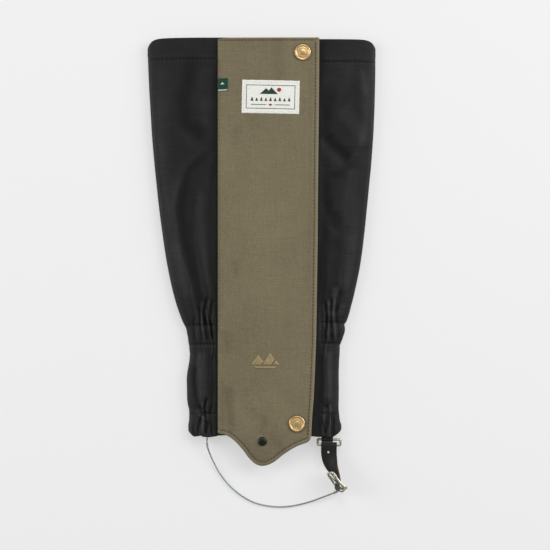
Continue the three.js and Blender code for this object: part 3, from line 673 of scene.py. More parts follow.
YB = {-1: np.array([(-71, -158.6), (-69.4, -160.6), (-67.9, -162.4), (-66.0, -164.1), (-64.1, -164.8), (-62.2, -164.5), (-60.3, -164.1), (-58.4, -163.9),
                    (-56.5, -164.3), (-54.6, -164.7), (-52.7, -165.3), (-50.8, -165.4), (-48.9, -165.0), (-47, -164.8),
                    (-43.2, -164.3), (-30, -163.8), (0, -164.0)]),
      1: np.array([(0, -164.0), (12, -163.6), (46, -164.2), (50, -164.6), (54, -165.0), (60.2, -164.9), (64.6, -165.6), (68, -164.9),
                   (71, -163.0), (72.7, -161.7), (74.6, -159.8), (76, -157.5)])}
ROW_TOP = {-1: 193.2, 1: 190.9}
ROW_A = {-1: (-59.3, -77.4), 1: (-56.6, -76.6)}
ROW_HEM = -143.4
RHO = 3.6
TOPY = {-1: 213.8, 1: 212.3}
RIDGES = {
    -1: [  # (points, height, width, skew)
        ([(-45, 116.4), (-55.6, 103.6), (-69, 90.3), (-78, 69.4), (-80.5, 53.2), (-78.5, 32.3), (-75.2, 11.4), (-70, -6.7), (-64.7, -22.8),
          (-60.8, -40.9), (-59.5, -54)], 1.6, 8.5, 0.35),
        ([(-58, 69), (-61.5, 40), (-60.5, 12), (-56.5, -14), (-53.5, -34), (-52, -50)], 1.0, 4.2, 0.2),
        ([(-72, 199), (-67.5, 180), (-76.6, 150.5), (-71.3, 130), (-55.6, 117), (-47, 113)], -1.2, 8.0, 0.0),
        ([(-92, 165), (-96, 120), (-93, 70), (-88, 25)], 0.6, 9.0, 0.0),
        ([(-52, 186), (-54, 160), (-53, 138)], 0.7, 7.0, 0.0),
        ([(-46, 96), (-49, 60), (-50, 10), (-47, -30)], -0.7, 4.0, 0.0),
        ([(-57, -83), (-57.5, -105), (-56.5, -128), (-55, -140)], 1.3, 4.0, 0.2),
        ([(-66.2, -92), (-67.6, -108), (-66.4, -124), (-64.0, -140)], 0.9, 1.9, 0.0),
        ([(-62.6, -96), (-63.4, -112), (-61.8, -128), (-60.0, -140)], -0.9, 1.7, 0.0),
        ([(-47, -84), (-46.5, -110), (-47.5, -138)], -0.7, 2.6, 0.0),
    ],
    1: [
        ([(74, 150), (84, 138), (92, 124), (92, 106)], 1.1, 9.0, -0.3),
        ([(97, 186), (98, 160), (99, 130), (97, 105)], 0.8, 7.0, 0.0),
        ([(61, 122), (70, 108), (80, 99), (85, 96)], -1.3, 6.0, 0.0),
        ([(84, 92), (78, 74.1), (75, 53.2), (74, 30)], 0.8, 8.0, -0.3),
        ([(62, 60), (66, 48), (72, 40), (66, 30)], -0.9, 5.0, 0.0),
        ([(82, 30), (84, 10), (82, -10), (77, -28)], 0.9, 8.0, 0.0),
        ([(62, 160), (60, 110), (60, 60), (59, 10)], -0.5, 5.0, 0.0),
        ([(71, -22), (67.5, -34), (63.7, -44.2), (62.2, -54)], 1.3, 3.0, -0.2),
        ([(76.5, -26), (72, -38), (68.2, -50)], -1.1, 3.2, 0.0),
        ([(78, -40), (75, -52)], 0.8, 2.6, 0.0),
        ([(61, -82), (62.5, -104), (62, -136)], 1.1, 4.0, 0.0),
        ([(70, -84), (69.5, -110), (70.3, -138)], -0.6, 2.0, 0.0),
        ([(66.2, -144), (67.0, -152), (66.2, -165)], -1.9, 1.25, 0.0),
        ([(70.4, -144), (71.4, -154), (70.6, -163)], 0.9, 2.2, 0.0),
        ([(56, -145), (57, -156), (56, -165)], 0.5, 3.5, 0.0),
    ]}


def px(*pts):
    """Places read off the picture's grid, as drawing millimetres."""
    return [((c - 262) * 0.95, (263 - r) * 0.95) for c, r in pts]


RIDGES[-1] += [  # the main folds that the elastic draws up
    (px((207, 296), (204, 312), (205, 326), (208, 345)), -1.7, 1.5, 0.0),
    (px((199, 306), (200, 322), (202, 345)), -1.3, 1.3, 0.0),
    (px((212, 298), (210, 320), (213, 344)), -1.4, 1.4, 0.0),
    (px((203, 300), (201.5, 314), (203, 334)), 0.9, 1.3, 0.0),
    (px((209.5, 300), (207.5, 318), (210.5, 336)), 0.8, 1.2, 0.0),
    (px((193, 318), (194.5, 330), (194, 344)), -0.9, 1.2, 0.0),
    (px((207, 396), (204, 409), (207, 424), (205, 438)), -1.7, 1.5, 0.0),
    (px((199, 404), (202, 414), (199, 426), (197, 438)), -1.3, 1.3, 0.0),
    (px((213, 402), (210, 414), (212, 438)), -1.2, 1.3, 0.0),
    (px((203, 402), (202.5, 412), (203, 436)), 0.9, 1.3, 0.0),
    (px((194, 412), (201, 416), (209, 422)), 0.9, 1.6, 0.0),
    (px((193, 424), (194, 438)), -1.0, 1.2, 0.0),
]
RIDGES[1] += [
    (px((332, 296), (330, 314), (332, 344)), -1.5, 1.5, 0.0),
    (px((325, 300), (327, 320), (324, 344)), -1.4, 1.3, 0.0),
    (px((338, 304), (336, 320), (339, 342)), -1.1, 1.3, 0.0),
    (px((328.5, 300), (329, 318), (328, 340)), 0.9, 1.2, 0.0),
    (px((335, 298), (333.5, 316), (336, 340)), 0.8, 1.2, 0.0),
    (px((320.5, 300), (321, 345)), -1.2, 1.3, 0.0),
    (px((326, 404), (328, 416), (325, 437)), -1.4, 1.4, 0.0),
    (px((337, 404), (337.5, 420), (339, 434)), -1.0, 1.2, 0.0),
    (px((330, 404), (331, 418), (329.5, 436)), 0.9, 1.3, 0.0),
]

PAINTED_LIGHT_AND_SHADE = {  # painted light along the lit folds and painted shade in the hollows
    -1: [
        (px((213, 147), (187, 172), (181, 207), (186, 245), (199, 292), (204, 316)), 4.6, -1.25),
        (px((177, 168), (167, 207), (171, 245), (183, 288)), 8.0, 0.55),
        (px((199, 185), (201, 230), (206, 268)), 3.4, 0.5),
        (px((192, 63), (184, 100), (187, 122), (206, 141)), 6.5, -0.95),
        (px((204, 98), (206, 126)), 4.5, 0.5),
        (px((214.5, 45), (214.5, 330)), 2.6, -0.7),
        (px((214.5, 345), (214.5, 436)), 2.2, -0.6),
        (px((163, 62), (160, 120), (165, 165)), 8.0, 0.45),
        (px((176, 240), (186, 300)), 6.0, 0.6),
        (px((202, 350), (203, 400)), 4.5, 0.7),
        (px((192, 362), (194, 400)), 1.6, -0.9),
        (px((209, 350), (210, 400)), 2.4, -0.6),
        (px((207, 296), (204, 312), (205, 326), (208, 345)), 1.5, -1.5),
        (px((199, 306), (200, 322), (202, 345)), 1.3, -1.2),
        (px((212, 298), (210, 320), (213, 344)), 1.4, -1.2),
        (px((203, 302), (201.5, 316), (203, 334)), 1.4, 1.0),
        (px((193, 318), (194.5, 330), (194, 344)), 1.2, -0.7),
        (px((207, 396), (204, 409), (207, 424), (205, 438)), 1.5, -1.5),
        (px((199, 404), (202, 414), (199, 426), (197, 438)), 1.3, -1.2),
        (px((213, 402), (210, 414), (212, 438)), 1.3, -1.0),
        (px((203, 402), (202.5, 412), (203, 436)), 1.3, 0.9),
        (px((194, 412), (201, 416), (209, 422)), 1.6, 0.8),
        (px((193, 424), (194, 438)), 1.2, -0.8),
    ],
    1: [
        (px((321, 42), (322, 76)), 4.0, -0.8),
        (px((331, 92), (324, 120), (327, 140)), 5.5, -1.0),
        (px((327, 140), (340, 150), (351, 160)), 5.0, -1.2),
        (px((352, 163), (342, 172), (330, 176)), 3.6, -0.9),
        (px((326, 180), (328, 212), (338, 221)), 4.4, -0.9),
        (px((324, 225), (323, 300)), 4.0, -0.9),
        (px((340, 112), (352, 124), (360, 138), (358, 152)), 5.5, 0.55),
        (px((353, 168), (352, 230), (345, 300)), 6.5, 0.65),
        (px((362, 68), (366, 95)), 2.8, 0.6),
        (px((349, 60), (348, 86)), 6.0, 0.35),
        (px((372, 50), (370, 140)), 3.0, 0.3),
        (px((332, 296), (330, 314), (332, 344)), 1.5, -1.4),
        (px((325, 300), (327, 320), (324, 344)), 1.3, -1.2),
        (px((338, 304), (336, 320), (339, 342)), 1.3, -1.0),
        (px((328.5, 300), (329, 318), (328, 340)), 1.2, 0.9),
        (px((335, 298), (333.5, 316), (336, 340)), 1.2, 0.8),
        (px((335, 293), (328, 318)), 2.0, 0.6),
        (px((330, 350), (330, 402)), 4.0, 0.7),
        (px((320, 345), (320, 436)), 2.4, -0.8),
        (px((333, 412), (334, 438)), 1.5, -1.5),
        (px((326, 404), (328, 416), (325, 437)), 1.4, -1.2),
        (px((330, 404), (331, 418), (329.5, 436)), 1.3, 0.8),
        (px((337, 406), (338, 428)), 1.3, -0.7),
    ]}


# painted light and shade of a side panel, summed from soft bands
def painted_light_and_shade_field(side, x, y):
    t = np.zeros(np.shape(x))
    for pts, w, v in PAINTED_LIGHT_AND_SHADE[side]:
        d, _, al = seg_dist(x, y, pts)
        t = t + v * np.exp(-(d / w) ** 2) * (0.35 + 0.65 * smooth01(np.minimum(al, 1 - al) / 0.12))
    return np.clip(t, -1.6, 1.2)


def puffs(s, lam, ph):
    """Rounded tops and narrow valleys, 0 to 1."""
    return np.abs(np.sin(np.pi * (s / lam + 0.55 * np.sin(2 * np.pi * s / 33.0 + ph) + 0.30 * np.sin(2 * np.pi * s / 13.7 + 2.1 * ph))))


def gather_amp(side, y):
    """Amplitudes of the fine and the coarse folds, and the pinch of the stitch rows."""
    r0, r1 = ROW_A[side]
    a = np.zeros_like(y)
    up, dn = np.maximum(y - r0, 0), np.maximum(r1 - y, 0)
    inside = (y <= r0) & (y >= r1)
    mid = np.sin(np.pi * np.clip((r0 - y) / (r0 - r1), 0, 1))
    a = np.where(inside, 0.75 + 0.35 * mid, np.exp(-up / 8.0) * 0.75 * (y > r0) + np.exp(-dn / 6.5) * 0.75 * (y < r1))
    uh, dh = np.maximum(y - ROW_HEM, 0), np.maximum(ROW_HEM - y, 0)
    a = a + np.where(y > ROW_HEM, np.exp(-uh / 7.0) * 0.6, 0.6 + 0.25 * np.clip(dh / 10, 0, 1))
    co = 1.25 * np.exp(-up / 26.0) * (y > r0) + 1.0 * inside + 1.0 * np.exp(-dn / 20.0) * (y < r1)
    co = co + np.where(y > ROW_HEM, 0.5 * np.exp(-uh / 16.0), 0.5)
    pin = np.zeros_like(y)
    for r in (r0, r1, ROW_HEM):
        pin += np.exp(-((y - r) / 1.1) ** 2)
    puff = 0.85 * mid * inside + 0.35 * smooth01(dh / 6) * (y < ROW_HEM)
    return a, co, pin, puff


def panel_surface(side, ys, nf=74, nq=11, nb=46):
    """The outer surface as a grid: rows are y, columns go from the front's inner edge round the fold to the back seam."""
    ys = np.asarray(ys, float)
    x_in = -30.0 if side < 0 else 12.4
    x_out = -0.2 if side < 0 else 0.2
    Y = ys[:, None]
    xe = XE(side, Y)
    xs = xe - side * RHO  # where the fold starts
    uf = np.linspace(0, 1, nf)[None, :]
    # more columns on the visible part
    xf = x_in + (xs - x_in) * uf
    e = np.abs(xe - xf)
    zf = 7.2 + (12.0 - 7.2) * (1 - np.exp(-(e - RHO) / 15.0))
    # ridges and valleys
    vis = smooth01((-(xf) - 42.0) / 5.0) if side < 0 else smooth01((xf - 54.0) / 5.0)
    add = np.zeros_like(zf)
    YY = np.broadcast_to(Y, xf.shape)
    for pts, h, w, skew in RIDGES[side]:
        d, sd, al = seg_dist(xf, YY, pts)
        taper = smooth01(np.minimum(al, 1 - al) / 0.16)
        ww = w * (1 + skew * sd)
        add += h * np.exp(-(np.maximum(d - 0.15 * ww, 0) / ww) ** 2) * taper
    # very soft unevenness
    add += 0.28 * np.sin(xf / 11.0 + YY / 23.0 + side) * np.sin(YY / 17.0 - xf / 31.0) + 0.12 * np.sin(xf / 4.7 + YY / 9.3) * np.sin(YY / 6.1)
    a, co, pin, puff = gather_amp(side, YY)
    # a coordinate that keeps its folds on the same threads as the panel narrows
    s_col = np.broadcast_to(np.linspace(0, 1, nf)[None, :], xf.shape) * (46.0 if side < 0 else 62.0)
    wander = 1.3 * np.sin(YY / 8.0 + 1.3 * side) + 0.8 * np.sin(YY / 3.7 + s_col / 5.0)
    fine = puffs(s_col + wander, 6.6, 0.7 + side) - 0.62
    coarse = puffs(s_col + 0.6 * wander, 14.5, 2.3 + side) - 0.6
    calm = 0.42 + 0.58 * smooth01((e - 9.0) / 12.0)
    gat = (a * fine * 1.15 + co * coarse * 1.0) * calm
    gat = gat * (1 - 0.35 * pin)
    add = add + gat + puff - 0.75 * pin
    # hem at the knee end: a turned edge with one row of thread
    rt = ROW_TOP[side]
    add += -0.45 * np.exp(-((YY - rt) / 0.9) ** 2) + 0.18 * np.exp(-((YY - rt - 2.6) / 1.6) ** 2)
    add += 0.16 * np.sin(xf * 1.55 + 0.6 * np.sin(xf * 0.31)) * np.exp(-((YY - rt) / 2.6) ** 2)
    edge_soft = smooth01((e - RHO) / 5.0) * 0.75 + 0.25
    zf = zf + add * vis * edge_soft
    # the sewn-down part beside the flap's seam
    zf = np.minimum(zf, np.where(vis < 0.999, 12.0 + 2.4 * vis, 99))
    # fold
    phi = np.linspace(0, np.pi, nq + 2)[None, 1:-1]
    s_b = np.linspace(0, 1, nb)[None, :]
    xb = xs + (x_out - xs) * s_b
    YB_ = np.broadcast_to(Y, xb.shape)
    ab, cob, pinb, puffb = gather_amp(side, YB_)
    sb = np.broadcast_to(s_b, xb.shape) * 68.0
    zb = 0.05 + (ab * (1 - puffs(sb, 5.9, 1.9)) * 0.9 + cob * (1 - puffs(sb, 13.0, 0.4)) * 0.55) * 0.8 + 0.35 * pinb
    zb = zb + 0.12 * (1 + np.sin(xb / 12.0 + YB_ / 19.0)) + 0.25 * np.exp(-((YB_ - rt) / 0.9) ** 2)
    zb = zb * smooth01(np.abs(xb) / 4.0)
    ztop = zf[:, -1:]
    zbot = zb[:, :1]
    zm, hh = (ztop + zbot) / 2, (ztop - zbot) / 2
    xq = xs + side * RHO * np.sin(phi)
    zq = zm + hh * np.cos(phi)
    X = np.concatenate([xf, xq, xb], 1)
    Z = np.concatenate([zf, zq, zb], 1)
    # round the joins of front, fold and back
    k0, k1 = nf - 7, nf + nq + 6
    for _ in range(3):
        Z[:, k0:k1] = 0.25 * Z[:, k0 - 1:k1 - 1] + 0.5 * Z[:, k0:k1] + 0.25 * Z[:, k0 + 1:k1 + 1]
    YG = np.broadcast_to(Y, X.shape).copy()
    # corners and the wavy lower edge
    eg = np.abs(xe - X)
    if side < 0:
        drop = 8.5 * np.exp(-eg / 3.2) + 1.6 * np.exp(-eg / 15.0)
    else:
        drop = 8.3 * np.exp(-eg / 3.6) + 0.3 * np.exp(-eg / 15.0)
    YG -= drop * smooth01((YG - (TOPY[side] - 22)) / 22.0)
    yb = np.interp(X, YB[side][:, 0], YB[side][:, 1])
    YG += (yb + 165.0) * smooth01((-147.0 - np.broadcast_to(Y, X.shape)) / 18.0)
    if side < 0:
        YG[:, :nf] += 6.0 * smooth01((X[:, :nf] + 42.4) / 1.4) * smooth01((-147.0 - np.broadcast_to(Y, X.shape)[:, :nf]) / 18.0)
    return np.stack([X, YG, Z], -1), nf


def y_rows(side, dense=1.0):
    top = TOPY[side]
    a = np.arange(top, top - 26, -0.9 * dense)
    b = np.arange(a[-1] - 2.2, 2.0, -2.2 * dense)
    c = np.arange(b[-1] - 0.9 * dense, -165.0, -0.9 * dense)
    return np.concatenate([a, b, c, [-165.0]])


def panel_object(side, name):
    P, nf = panel_surface(side, y_rows(side))
    N = grid_normals(P)
    if np.mean(N[: , : nf // 2, 2]) < 0:
        N = -N
    inner = P - N * 0.75
    # hems are doubled cloth, but this line leaves the inner face where it is
    inner[..., 2] = np.where(np.abs(N[..., 2]) > 0.5, inner[..., 2], inner[..., 2])
    wear = np.zeros(P.shape[:2])
    # painted light and shade of the panel's front
    painted_light_and_shade_tone = painted_light_and_shade_field(side, P[..., 0], P[..., 1])
    front = np.zeros(P.shape[:2])
    front[:, :nf + 5] = 1.0
    # painted shade in the hollows of the gathers and painted light on their tops
    ctr = P[..., 2].copy()
    for _ in range(10):
        ctr[:, 1:-1] = 0.25 * ctr[:, :-2] + 0.5 * ctr[:, 1:-1] + 0.25 * ctr[:, 2:]
    painted_hollow_shade_ridge_light = np.clip((P[..., 2] - ctr) * 2.6, -1.2, 0.7)
    # painted shade along the pinched stitch rows
    rows = np.zeros(P.shape[:2])
    for r in (ROW_TOP[side], *ROW_A[side], ROW_HEM):
        rows += np.exp(-((P[..., 1] - r) / 0.9) ** 2) * (0.55 + 0.45 * np.sin(P[..., 0] * 2 * np.pi / 3.3))
    painted_light_and_shade_tone = painted_light_and_shade_tone * front + painted_hollow_shade_ridge_light - 0.75 * rows
    o = shell(name, P, inner, "shell_cloth", attrs={"wear": wear, "painted_light_and_shade_tone": painted_light_and_shade_tone}, rim=0.4)
    return o, P, N


left_panel, PL, NL = panel_object(-1, "left_panel_cloth")
right_panel, PR, NR = panel_object(1, "right_panel_cloth")
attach(left_panel, "gaiter")
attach(right_panel, "gaiter")
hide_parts("left_side_panel")
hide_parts("right_side_panel")


def row_path(side, y, front_from=None, skip_hidden=True):
    """Points and normals of the outer surface along one row, from the front to the back seam."""
    P, nf = panel_surface(side, [y + 0.3, y, y - 0.3])
    N = grid_normals(P)
    if np.mean(N[1, : nf // 2, 2]) < 0:
        N = -N
    p, n = P[1], N[1]
    if skip_hidden:
        lim = -43.2 if side < 0 else 48.0
        k = np.arange(len(p))
        keep = (side * (p[:, 0] - lim) > 0) | (k >= nf)
        p, n = p[keep], n[keep]
    return p, n


paths = []
for side in (-1, 1):
    for y in (ROW_TOP[side], *ROW_A[side], ROW_HEM):
        paths.append(row_path(side, y))
seam_line, rline = [], []
for i in range(0, PL.shape[0]):
    if PL[i, 0, 1] > 211.5 or PL[i, 0, 1] < -162.5:
        continue
    j = int(np.argmin(np.abs(PL[i, :60, 0] + 43.7)))
    seam_line.append(PL[i, j])
seam_line = np.array(seam_line)
seam_line[:, 0] = -43.7
seam_line[:, 2] = np.convolve(np.pad(seam_line[:, 2], 2, mode="edge"), np.ones(5) / 5, mode="valid") + 0.1
paths.append((seam_line, np.tile([0, 0, 1.0], (len(seam_line), 1))))
for P_, sgn_ in ((PL, -1), (PR, 1)):
    line = []
    for i in range(0, P_.shape[0], 2):
        if not -163.5 < P_[i, 0, 1] < 212.0:
            continue
        back = P_[i, 90:]
        j = int(np.argmin(np.abs(np.abs(back[:, 0]) - 2.4)))
        line.append((sgn_ * 2.4, back[j, 1], max(back[j, 2], 0.02)))
    line = np.array(line)
    paths.append((line, np.tile([0, 0, -1.0], (len(line), 1))))
shell_thread = stitches("shell_hem_thread", paths, "thread_black", length=2.1, gap=0.6, r=0.24, lift=0.06)
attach(shell_thread, "gaiter")

# ------------------------------------------------------------------ the flap
FLAP_RIGHT = np.array([(54.2, 213.7), (54.0, 170), (53.5, 120), (53.0, 70), (52.7, 22), (52.0, -25), (51.3, -71.3), (50.0, -105), (48.9, -128.3),
                       (47.6, -145), (46.9, -157.7), (46.7, -163.0), (46.3, -165.8)])
FLAP_TONGUE = np.array([(-41.8, -161.3), (-40.2, -162.1), (-36.5, -162.6), (-31.9, -164.3), (-26.1, -168.6), (-18.2, -177.2), (-12.3, -185.0),
                        (-6.6, -190.3), (-3.0, -191.9), (0.4, -192.4), (5.0, -191.6), (10.9, -188.9), (21.1, -181.0), (31.9, -174.3), (38.5, -171.6),
                        (43.2, -169.7), (45.6, -167.4), (46.3, -165.8)])


FLAP_TONGUE = catmull(np.column_stack([FLAP_TONGUE, np.zeros(len(FLAP_TONGUE))]), 120)[:, :2]


def flap_edge_x(y):
    """Right edge x for a height."""
    return np.interp(y, FLAP_RIGHT[::-1, 1], FLAP_RIGHT[::-1, 0])


def flap_bottom_y(x):
    return np.interp(x, FLAP_TONGUE[:, 0], FLAP_TONGUE[:, 1])


def flap_lift(x):
    return 2.2 * smooth01((np.asarray(x) + 41.8) / 56.0)


FLAP_MARKS = [  # soft hollows and swells: points, height, width
    ([(16, 209), (15, 196), (16, 178)], -0.55, 4.5),
    ([(-31.4, -122), (-31.0, -137), (-30, -152)], -1.0, 4.2),
    ([(0.5, -148), (1.5, -163)], -0.55, 3.4),
    ([(-10, -134), (0, -142), (12, -152), (18, -160)], 0.45, 5.0),
    ([(-27, -78), (-26, -86)], -0.6, 5.0),
    ([(-25.6, 0), (-26, -8)], -0.5, 4.5),
    ([(-30, 120), (-26, 104)], -0.4, 6.0),
    ([(-20, -20), (-14, -60)], 0.35, 9.0),
    ([(30, 20), (34, -30)], 0.35, 9.0),
    ([(12, -105), (-8, -112)], 0.35, 6.0),
    ([(26, 96), (28, 60)], -0.3, 8.0),
]


def flap_top_z(x, y, edges=True):
    """Height of the flap's outer face."""
    x, y = np.asarray(x, float), np.asarray(y, float)
    z = 14.0 + flap_lift(x)
    for pts, h, w in FLAP_MARKS:
        d, _, al = seg_dist(x, y, pts)
        z = z + h * np.exp(-(d / w) ** 2)
    z = z + 0.12 * np.sin(x / 9.0 + y / 31.0) * np.sin(y / 21.0) + 0.05 * np.sin(x / 3.9) * np.sin(y / 5.3 + x / 7)
    # the ankle's elastic pulls the sewn edge
    pull = np.exp(-(x + 41.8) / 7.0) * (np.exp(-((y + 68) / 16.0) ** 2) + 0.8 * np.exp(-((y + 150) / 16.0) ** 2))
    z = z - 0.55 * pull + 0.3 * pull * np.sin(y / 2.6)
    droop = np.clip((-163.0 - y) / 29.0, 0, 1)
    z = z - 1.7 * droop ** 2
    return z


# painted light and shade of the flap: points, width, strength
FLAP_PAINTED_LIGHT_AND_SHADE = [
    (px((278, 40), (277, 58), (279, 77)), 4.5, -0.35),
    (px((219, 60), (219, 330)), 1.6, -0.5),
    (px((228, 392), (229, 410), (231, 428)), 4.0, -0.7),
    (px((226, 334), (229, 350)), 4.5, -0.5),
    (px((222, 380), (222, 436)), 2.5, -0.4),
    (px((264, 418), (263, 430)), 3.5, -0.35),
    (px((272, 436), (284, 450)), 4.0, -0.4),
    (px((244, 440), (252, 456)), 3.5, -0.3),
    (px((236, 405), (250, 425)), 6.0, 0.2),
    (px((270, 392), (286, 412)), 6.0, 0.2),
    (px((238, 128), (234, 140)), 5.0, -0.25),
    (px((235, 264), (236, 274)), 3.0, -0.35),
    (px((262, 150), (262, 300)), 14.0, 0.12),
    (px((262, 45), (262, 110)), 26.0, -0.22),
    (px((262, 330), (262, 450)), 26.0, -0.12),
    (px((305, 100), (306, 300)), 4.0, -0.12),
    (px((311, 60), (309, 340)), 1.6, -0.25),
    (px((262, 452), (262, 464)), 9.0, -0.3),
]


def edge_fields(x, y):
    dr, _, _ = seg_dist(x, y, FLAP_RIGHT)
    dt, _, _ = seg_dist(x, y, FLAP_TONGUE)
    dtop = 213.7 - y
    dl = x + 41.8
    return dr, dt, dtop, dl


STITCH_R, STITCH_T, STITCH_TOP = 3.4, 3.6, 2.3


def flap_grid(nu=92, inset=0.0, step=1.5):
    """Rows from the knee end down to the tongue; each row is cut by the outline."""
    u = np.linspace(0, 1, nu)
    u = 0.5 - 0.5 * np.cos(np.pi * u) * 0.35 - 0.5 * (1 - 2 * u) * 0.65
    vs = np.concatenate([np.arange(0, 8, 0.8), np.arange(8, 330, 2.4), np.arange(330, 379, 1.0)])
    vs = vs / vs[-1]
    X = np.zeros((len(vs), nu))
    Y = np.zeros_like(X)
    xl = -41.8 + inset
    # columns run from the top edge to the tongue's outline, so no row collapses at the tip
    for j, uu in enumerate(u):
        x_bot = xl + (46.3 - inset - xl) * uu
        yb = flap_bottom_y(x_bot) + inset * 0.9
        yt = 213.7 - inset * 0.8 - 1.3 * (1 - float(smooth01((x_bot + 41.8) / 9.0)))
        y = yt + (yb - yt) * vs
        xr = flap_edge_x(np.maximum(y, -165.8)) - inset
        X[:, j] = xl + (xr - xl) * uu
        Y[:, j] = y
    return X, Y


def flap_object():
    X, Y = flap_grid()
    z = flap_top_z(X, Y)
    dr, dt, dtop, dl = edge_fields(X, Y)
    near = np.minimum(np.minimum(dr, dt), dtop)
    # turned edge: fuller between the edge and the thread, a groove under the thread, rounded at the rim
    full = np.maximum(np.exp(-((dr - 1.7) / 1.1) ** 2), np.exp(-((dt - 1.8) / 1.1) ** 2))
    groove = np.maximum(np.maximum(np.exp(-((dr - STITCH_R) / 0.55) ** 2), np.exp(-((dt - STITCH_T) / 0.55) ** 2)),
                        np.exp(-((dtop - STITCH_TOP) / 0.5) ** 2))
    z = z + 0.28 * full - 0.34 * groove
    # small puckers between stitches
    z = z + 0.07 * np.sin(Y * 2 * np.pi / 5.1 + X) * np.exp(-((dr - STITCH_R) / 2.2) ** 2)
    rim = np.clip(1 - np.minimum(near, dl) / 0.8, 0, 1)
    z = z - 0.30 * rim ** 2
    P = np.stack([X, Y, z], -1)
    low = np.stack([X, Y, 13.2 + flap_lift(X) + (flap_top_z(X, Y) - 14.0 - flap_lift(X))], -1)
    low[..., 2] = np.minimum(low[..., 2], z - 0.35)
    wear = np.clip(np.exp(-(dr / 1.0) ** 2) * 0.85 + np.exp(-(dt / 0.9) ** 2) * 0.4 + np.exp(-(dtop / 0.8) ** 2) * 0.35 + 0.22 * full, 0, 1)
    # painted light and shade of the flap
    painted_light_and_shade_tone = np.zeros_like(X)
    for pts, w, v in FLAP_PAINTED_LIGHT_AND_SHADE:
        d, _, al = seg_dist(X, Y, pts)
        painted_light_and_shade_tone += v * np.exp(-(d / w) ** 2)
    # painted shadow ring round each snap cap
    for cx, cy in ((38.6, 199.7), (33.1, -152.4)):
        painted_light_and_shade_tone -= 1.1 * np.exp(-((np.hypot(X - cx, Y - cy) - 7.8) / 0.9) ** 2)
    # painted shade along the stitch grooves of the edges
    painted_light_and_shade_tone -= 0.55 * np.maximum(np.maximum(np.exp(-((dr - STITCH_R) / 0.8) ** 2), np.exp(-((dt - STITCH_T) / 0.8) ** 2)), np.exp(-((dtop - STITCH_TOP) / 0.7) ** 2))
    return shell("flap_cloth_outer", P, low, "flap_cloth", attrs={"wear": wear, "painted_light_and_shade_tone": painted_light_and_shade_tone}, rim=0.3)


BL_A = W([-41.8, 0, 13.5])
BL_B = W([-31.0, 0, 13.5])
flap = flap_object()
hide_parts("front_flap")
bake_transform(flap)

Xl, Yl = flap_grid(nu=60, inset=2.2)
zt = flap_top_z(Xl, Yl)
lin_top = np.stack([Xl, Yl, zt - 1.15], -1)
lin_low = np.stack([Xl, Yl, zt - 1.65], -1)
lining = shell("flap_lining_cloth", lin_top, lin_low, "lining_cloth", attrs={"wear": np.zeros(Xl.shape)}, rim=0.3)
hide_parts("flap_lining")
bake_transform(lining)


def offset_line(line, d):
    """A polyline moved to its right by d."""
    line = np.asarray(line, float)
    t = np.gradient(line, axis=0)
    t /= np.linalg.norm(t, axis=1, keepdims=True)
    return line + np.stack([t[:, 1], -t[:, 0]], 1) * d


def on_flap(line, step=0.8, dz=-0.3):
    p = resample(line, step)
    z = flap_top_z(p[:, 0], p[:, 1]) + dz
    n = np.tile([0, 0, 1.0], (len(p), 1))
    return np.column_stack([p, z]), n


right_line = resample(FLAP_RIGHT, 2.0)
right_in = offset_line(right_line, STITCH_R)
right_in = right_in[(right_in[:, 1] < 213.7 - STITCH_TOP) & (right_in[:, 1] > -163.5)]
tong = FLAP_TONGUE
tong_in = offset_line(tong, -STITCH_T)
tong_in = tong_in[(tong_in[:, 0] > -40.5) & (tong_in[:, 0] < right_in[-1, 0] + 0.2)]
top_in = np.array([(-40.5, 213.7 - STITCH_TOP), (right_in[0, 0], 213.7 - STITCH_TOP)])
flap_thread = stitches("flap_edge_thread", [on_flap(right_in), on_flap(tong_in), on_flap(top_in)], "thread_olive",
                       length=2.3, gap=1.0, r=0.36, lift=0.06)
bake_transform(flap_thread)

# ------------------------------------------------------------------ tapes
def strip(name, x0, x1, y0, y1, zt, t, mat, r=2.5, wav=0.0):
    nx, ny = 18, 150
    u = np.linspace(0, 1, nx)
    v = np.linspace(0, 1, ny)
    X = np.broadcast_to((x0 + (x1 - x0) * u)[None, :], (ny, nx)).copy()
    Y = np.broadcast_to((y1 + (y0 - y1) * v)[:, None], (ny, nx)).copy()
    Z = np.full_like(X, zt) + 0.06 * np.sin(Y / 7.0) * wav
    rim = np.clip(1 - np.minimum(np.minimum(X - x0, x1 - X), np.minimum(Y - y0, y1 - Y)) / 0.8, 0, 1)
    top = np.stack([X, Y, Z - 0.12 * rim], -1)
    low = np.stack([X, Y, Z - t], -1)
    return shell(name, top, low, mat, rim=0.25)


hook = strip("hook_tape_strip", 27, 47, -134, 184, 13.1, 0.8, "hook_side")
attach(hook, "gaiter")
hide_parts("hook_tape")
loop = strip("loop_tape_strip", 27, 47, -134, 184, 14.2, 0.8, "loop_side")
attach(loop, "flap")
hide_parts("loop_tape")


def tape_thread(name, z, nz, body):
    ps = []
    for x in (28.6, 45.4):
        p = resample([(x, 183), (x, -133)], 4.0)
        ps.append((np.column_stack([p, np.full(len(p), z)]), np.tile([0, 0, nz], (len(p), 1))))
    o = stitches(name, ps, "thread_black", length=2.2, gap=0.6, r=0.22)
    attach(o, body)
    return o


tape_thread("hook_tape_thread", 13.1, 1.0, "gaiter")
tape_thread("loop_tape_thread", 13.4, -1.0, "flap")

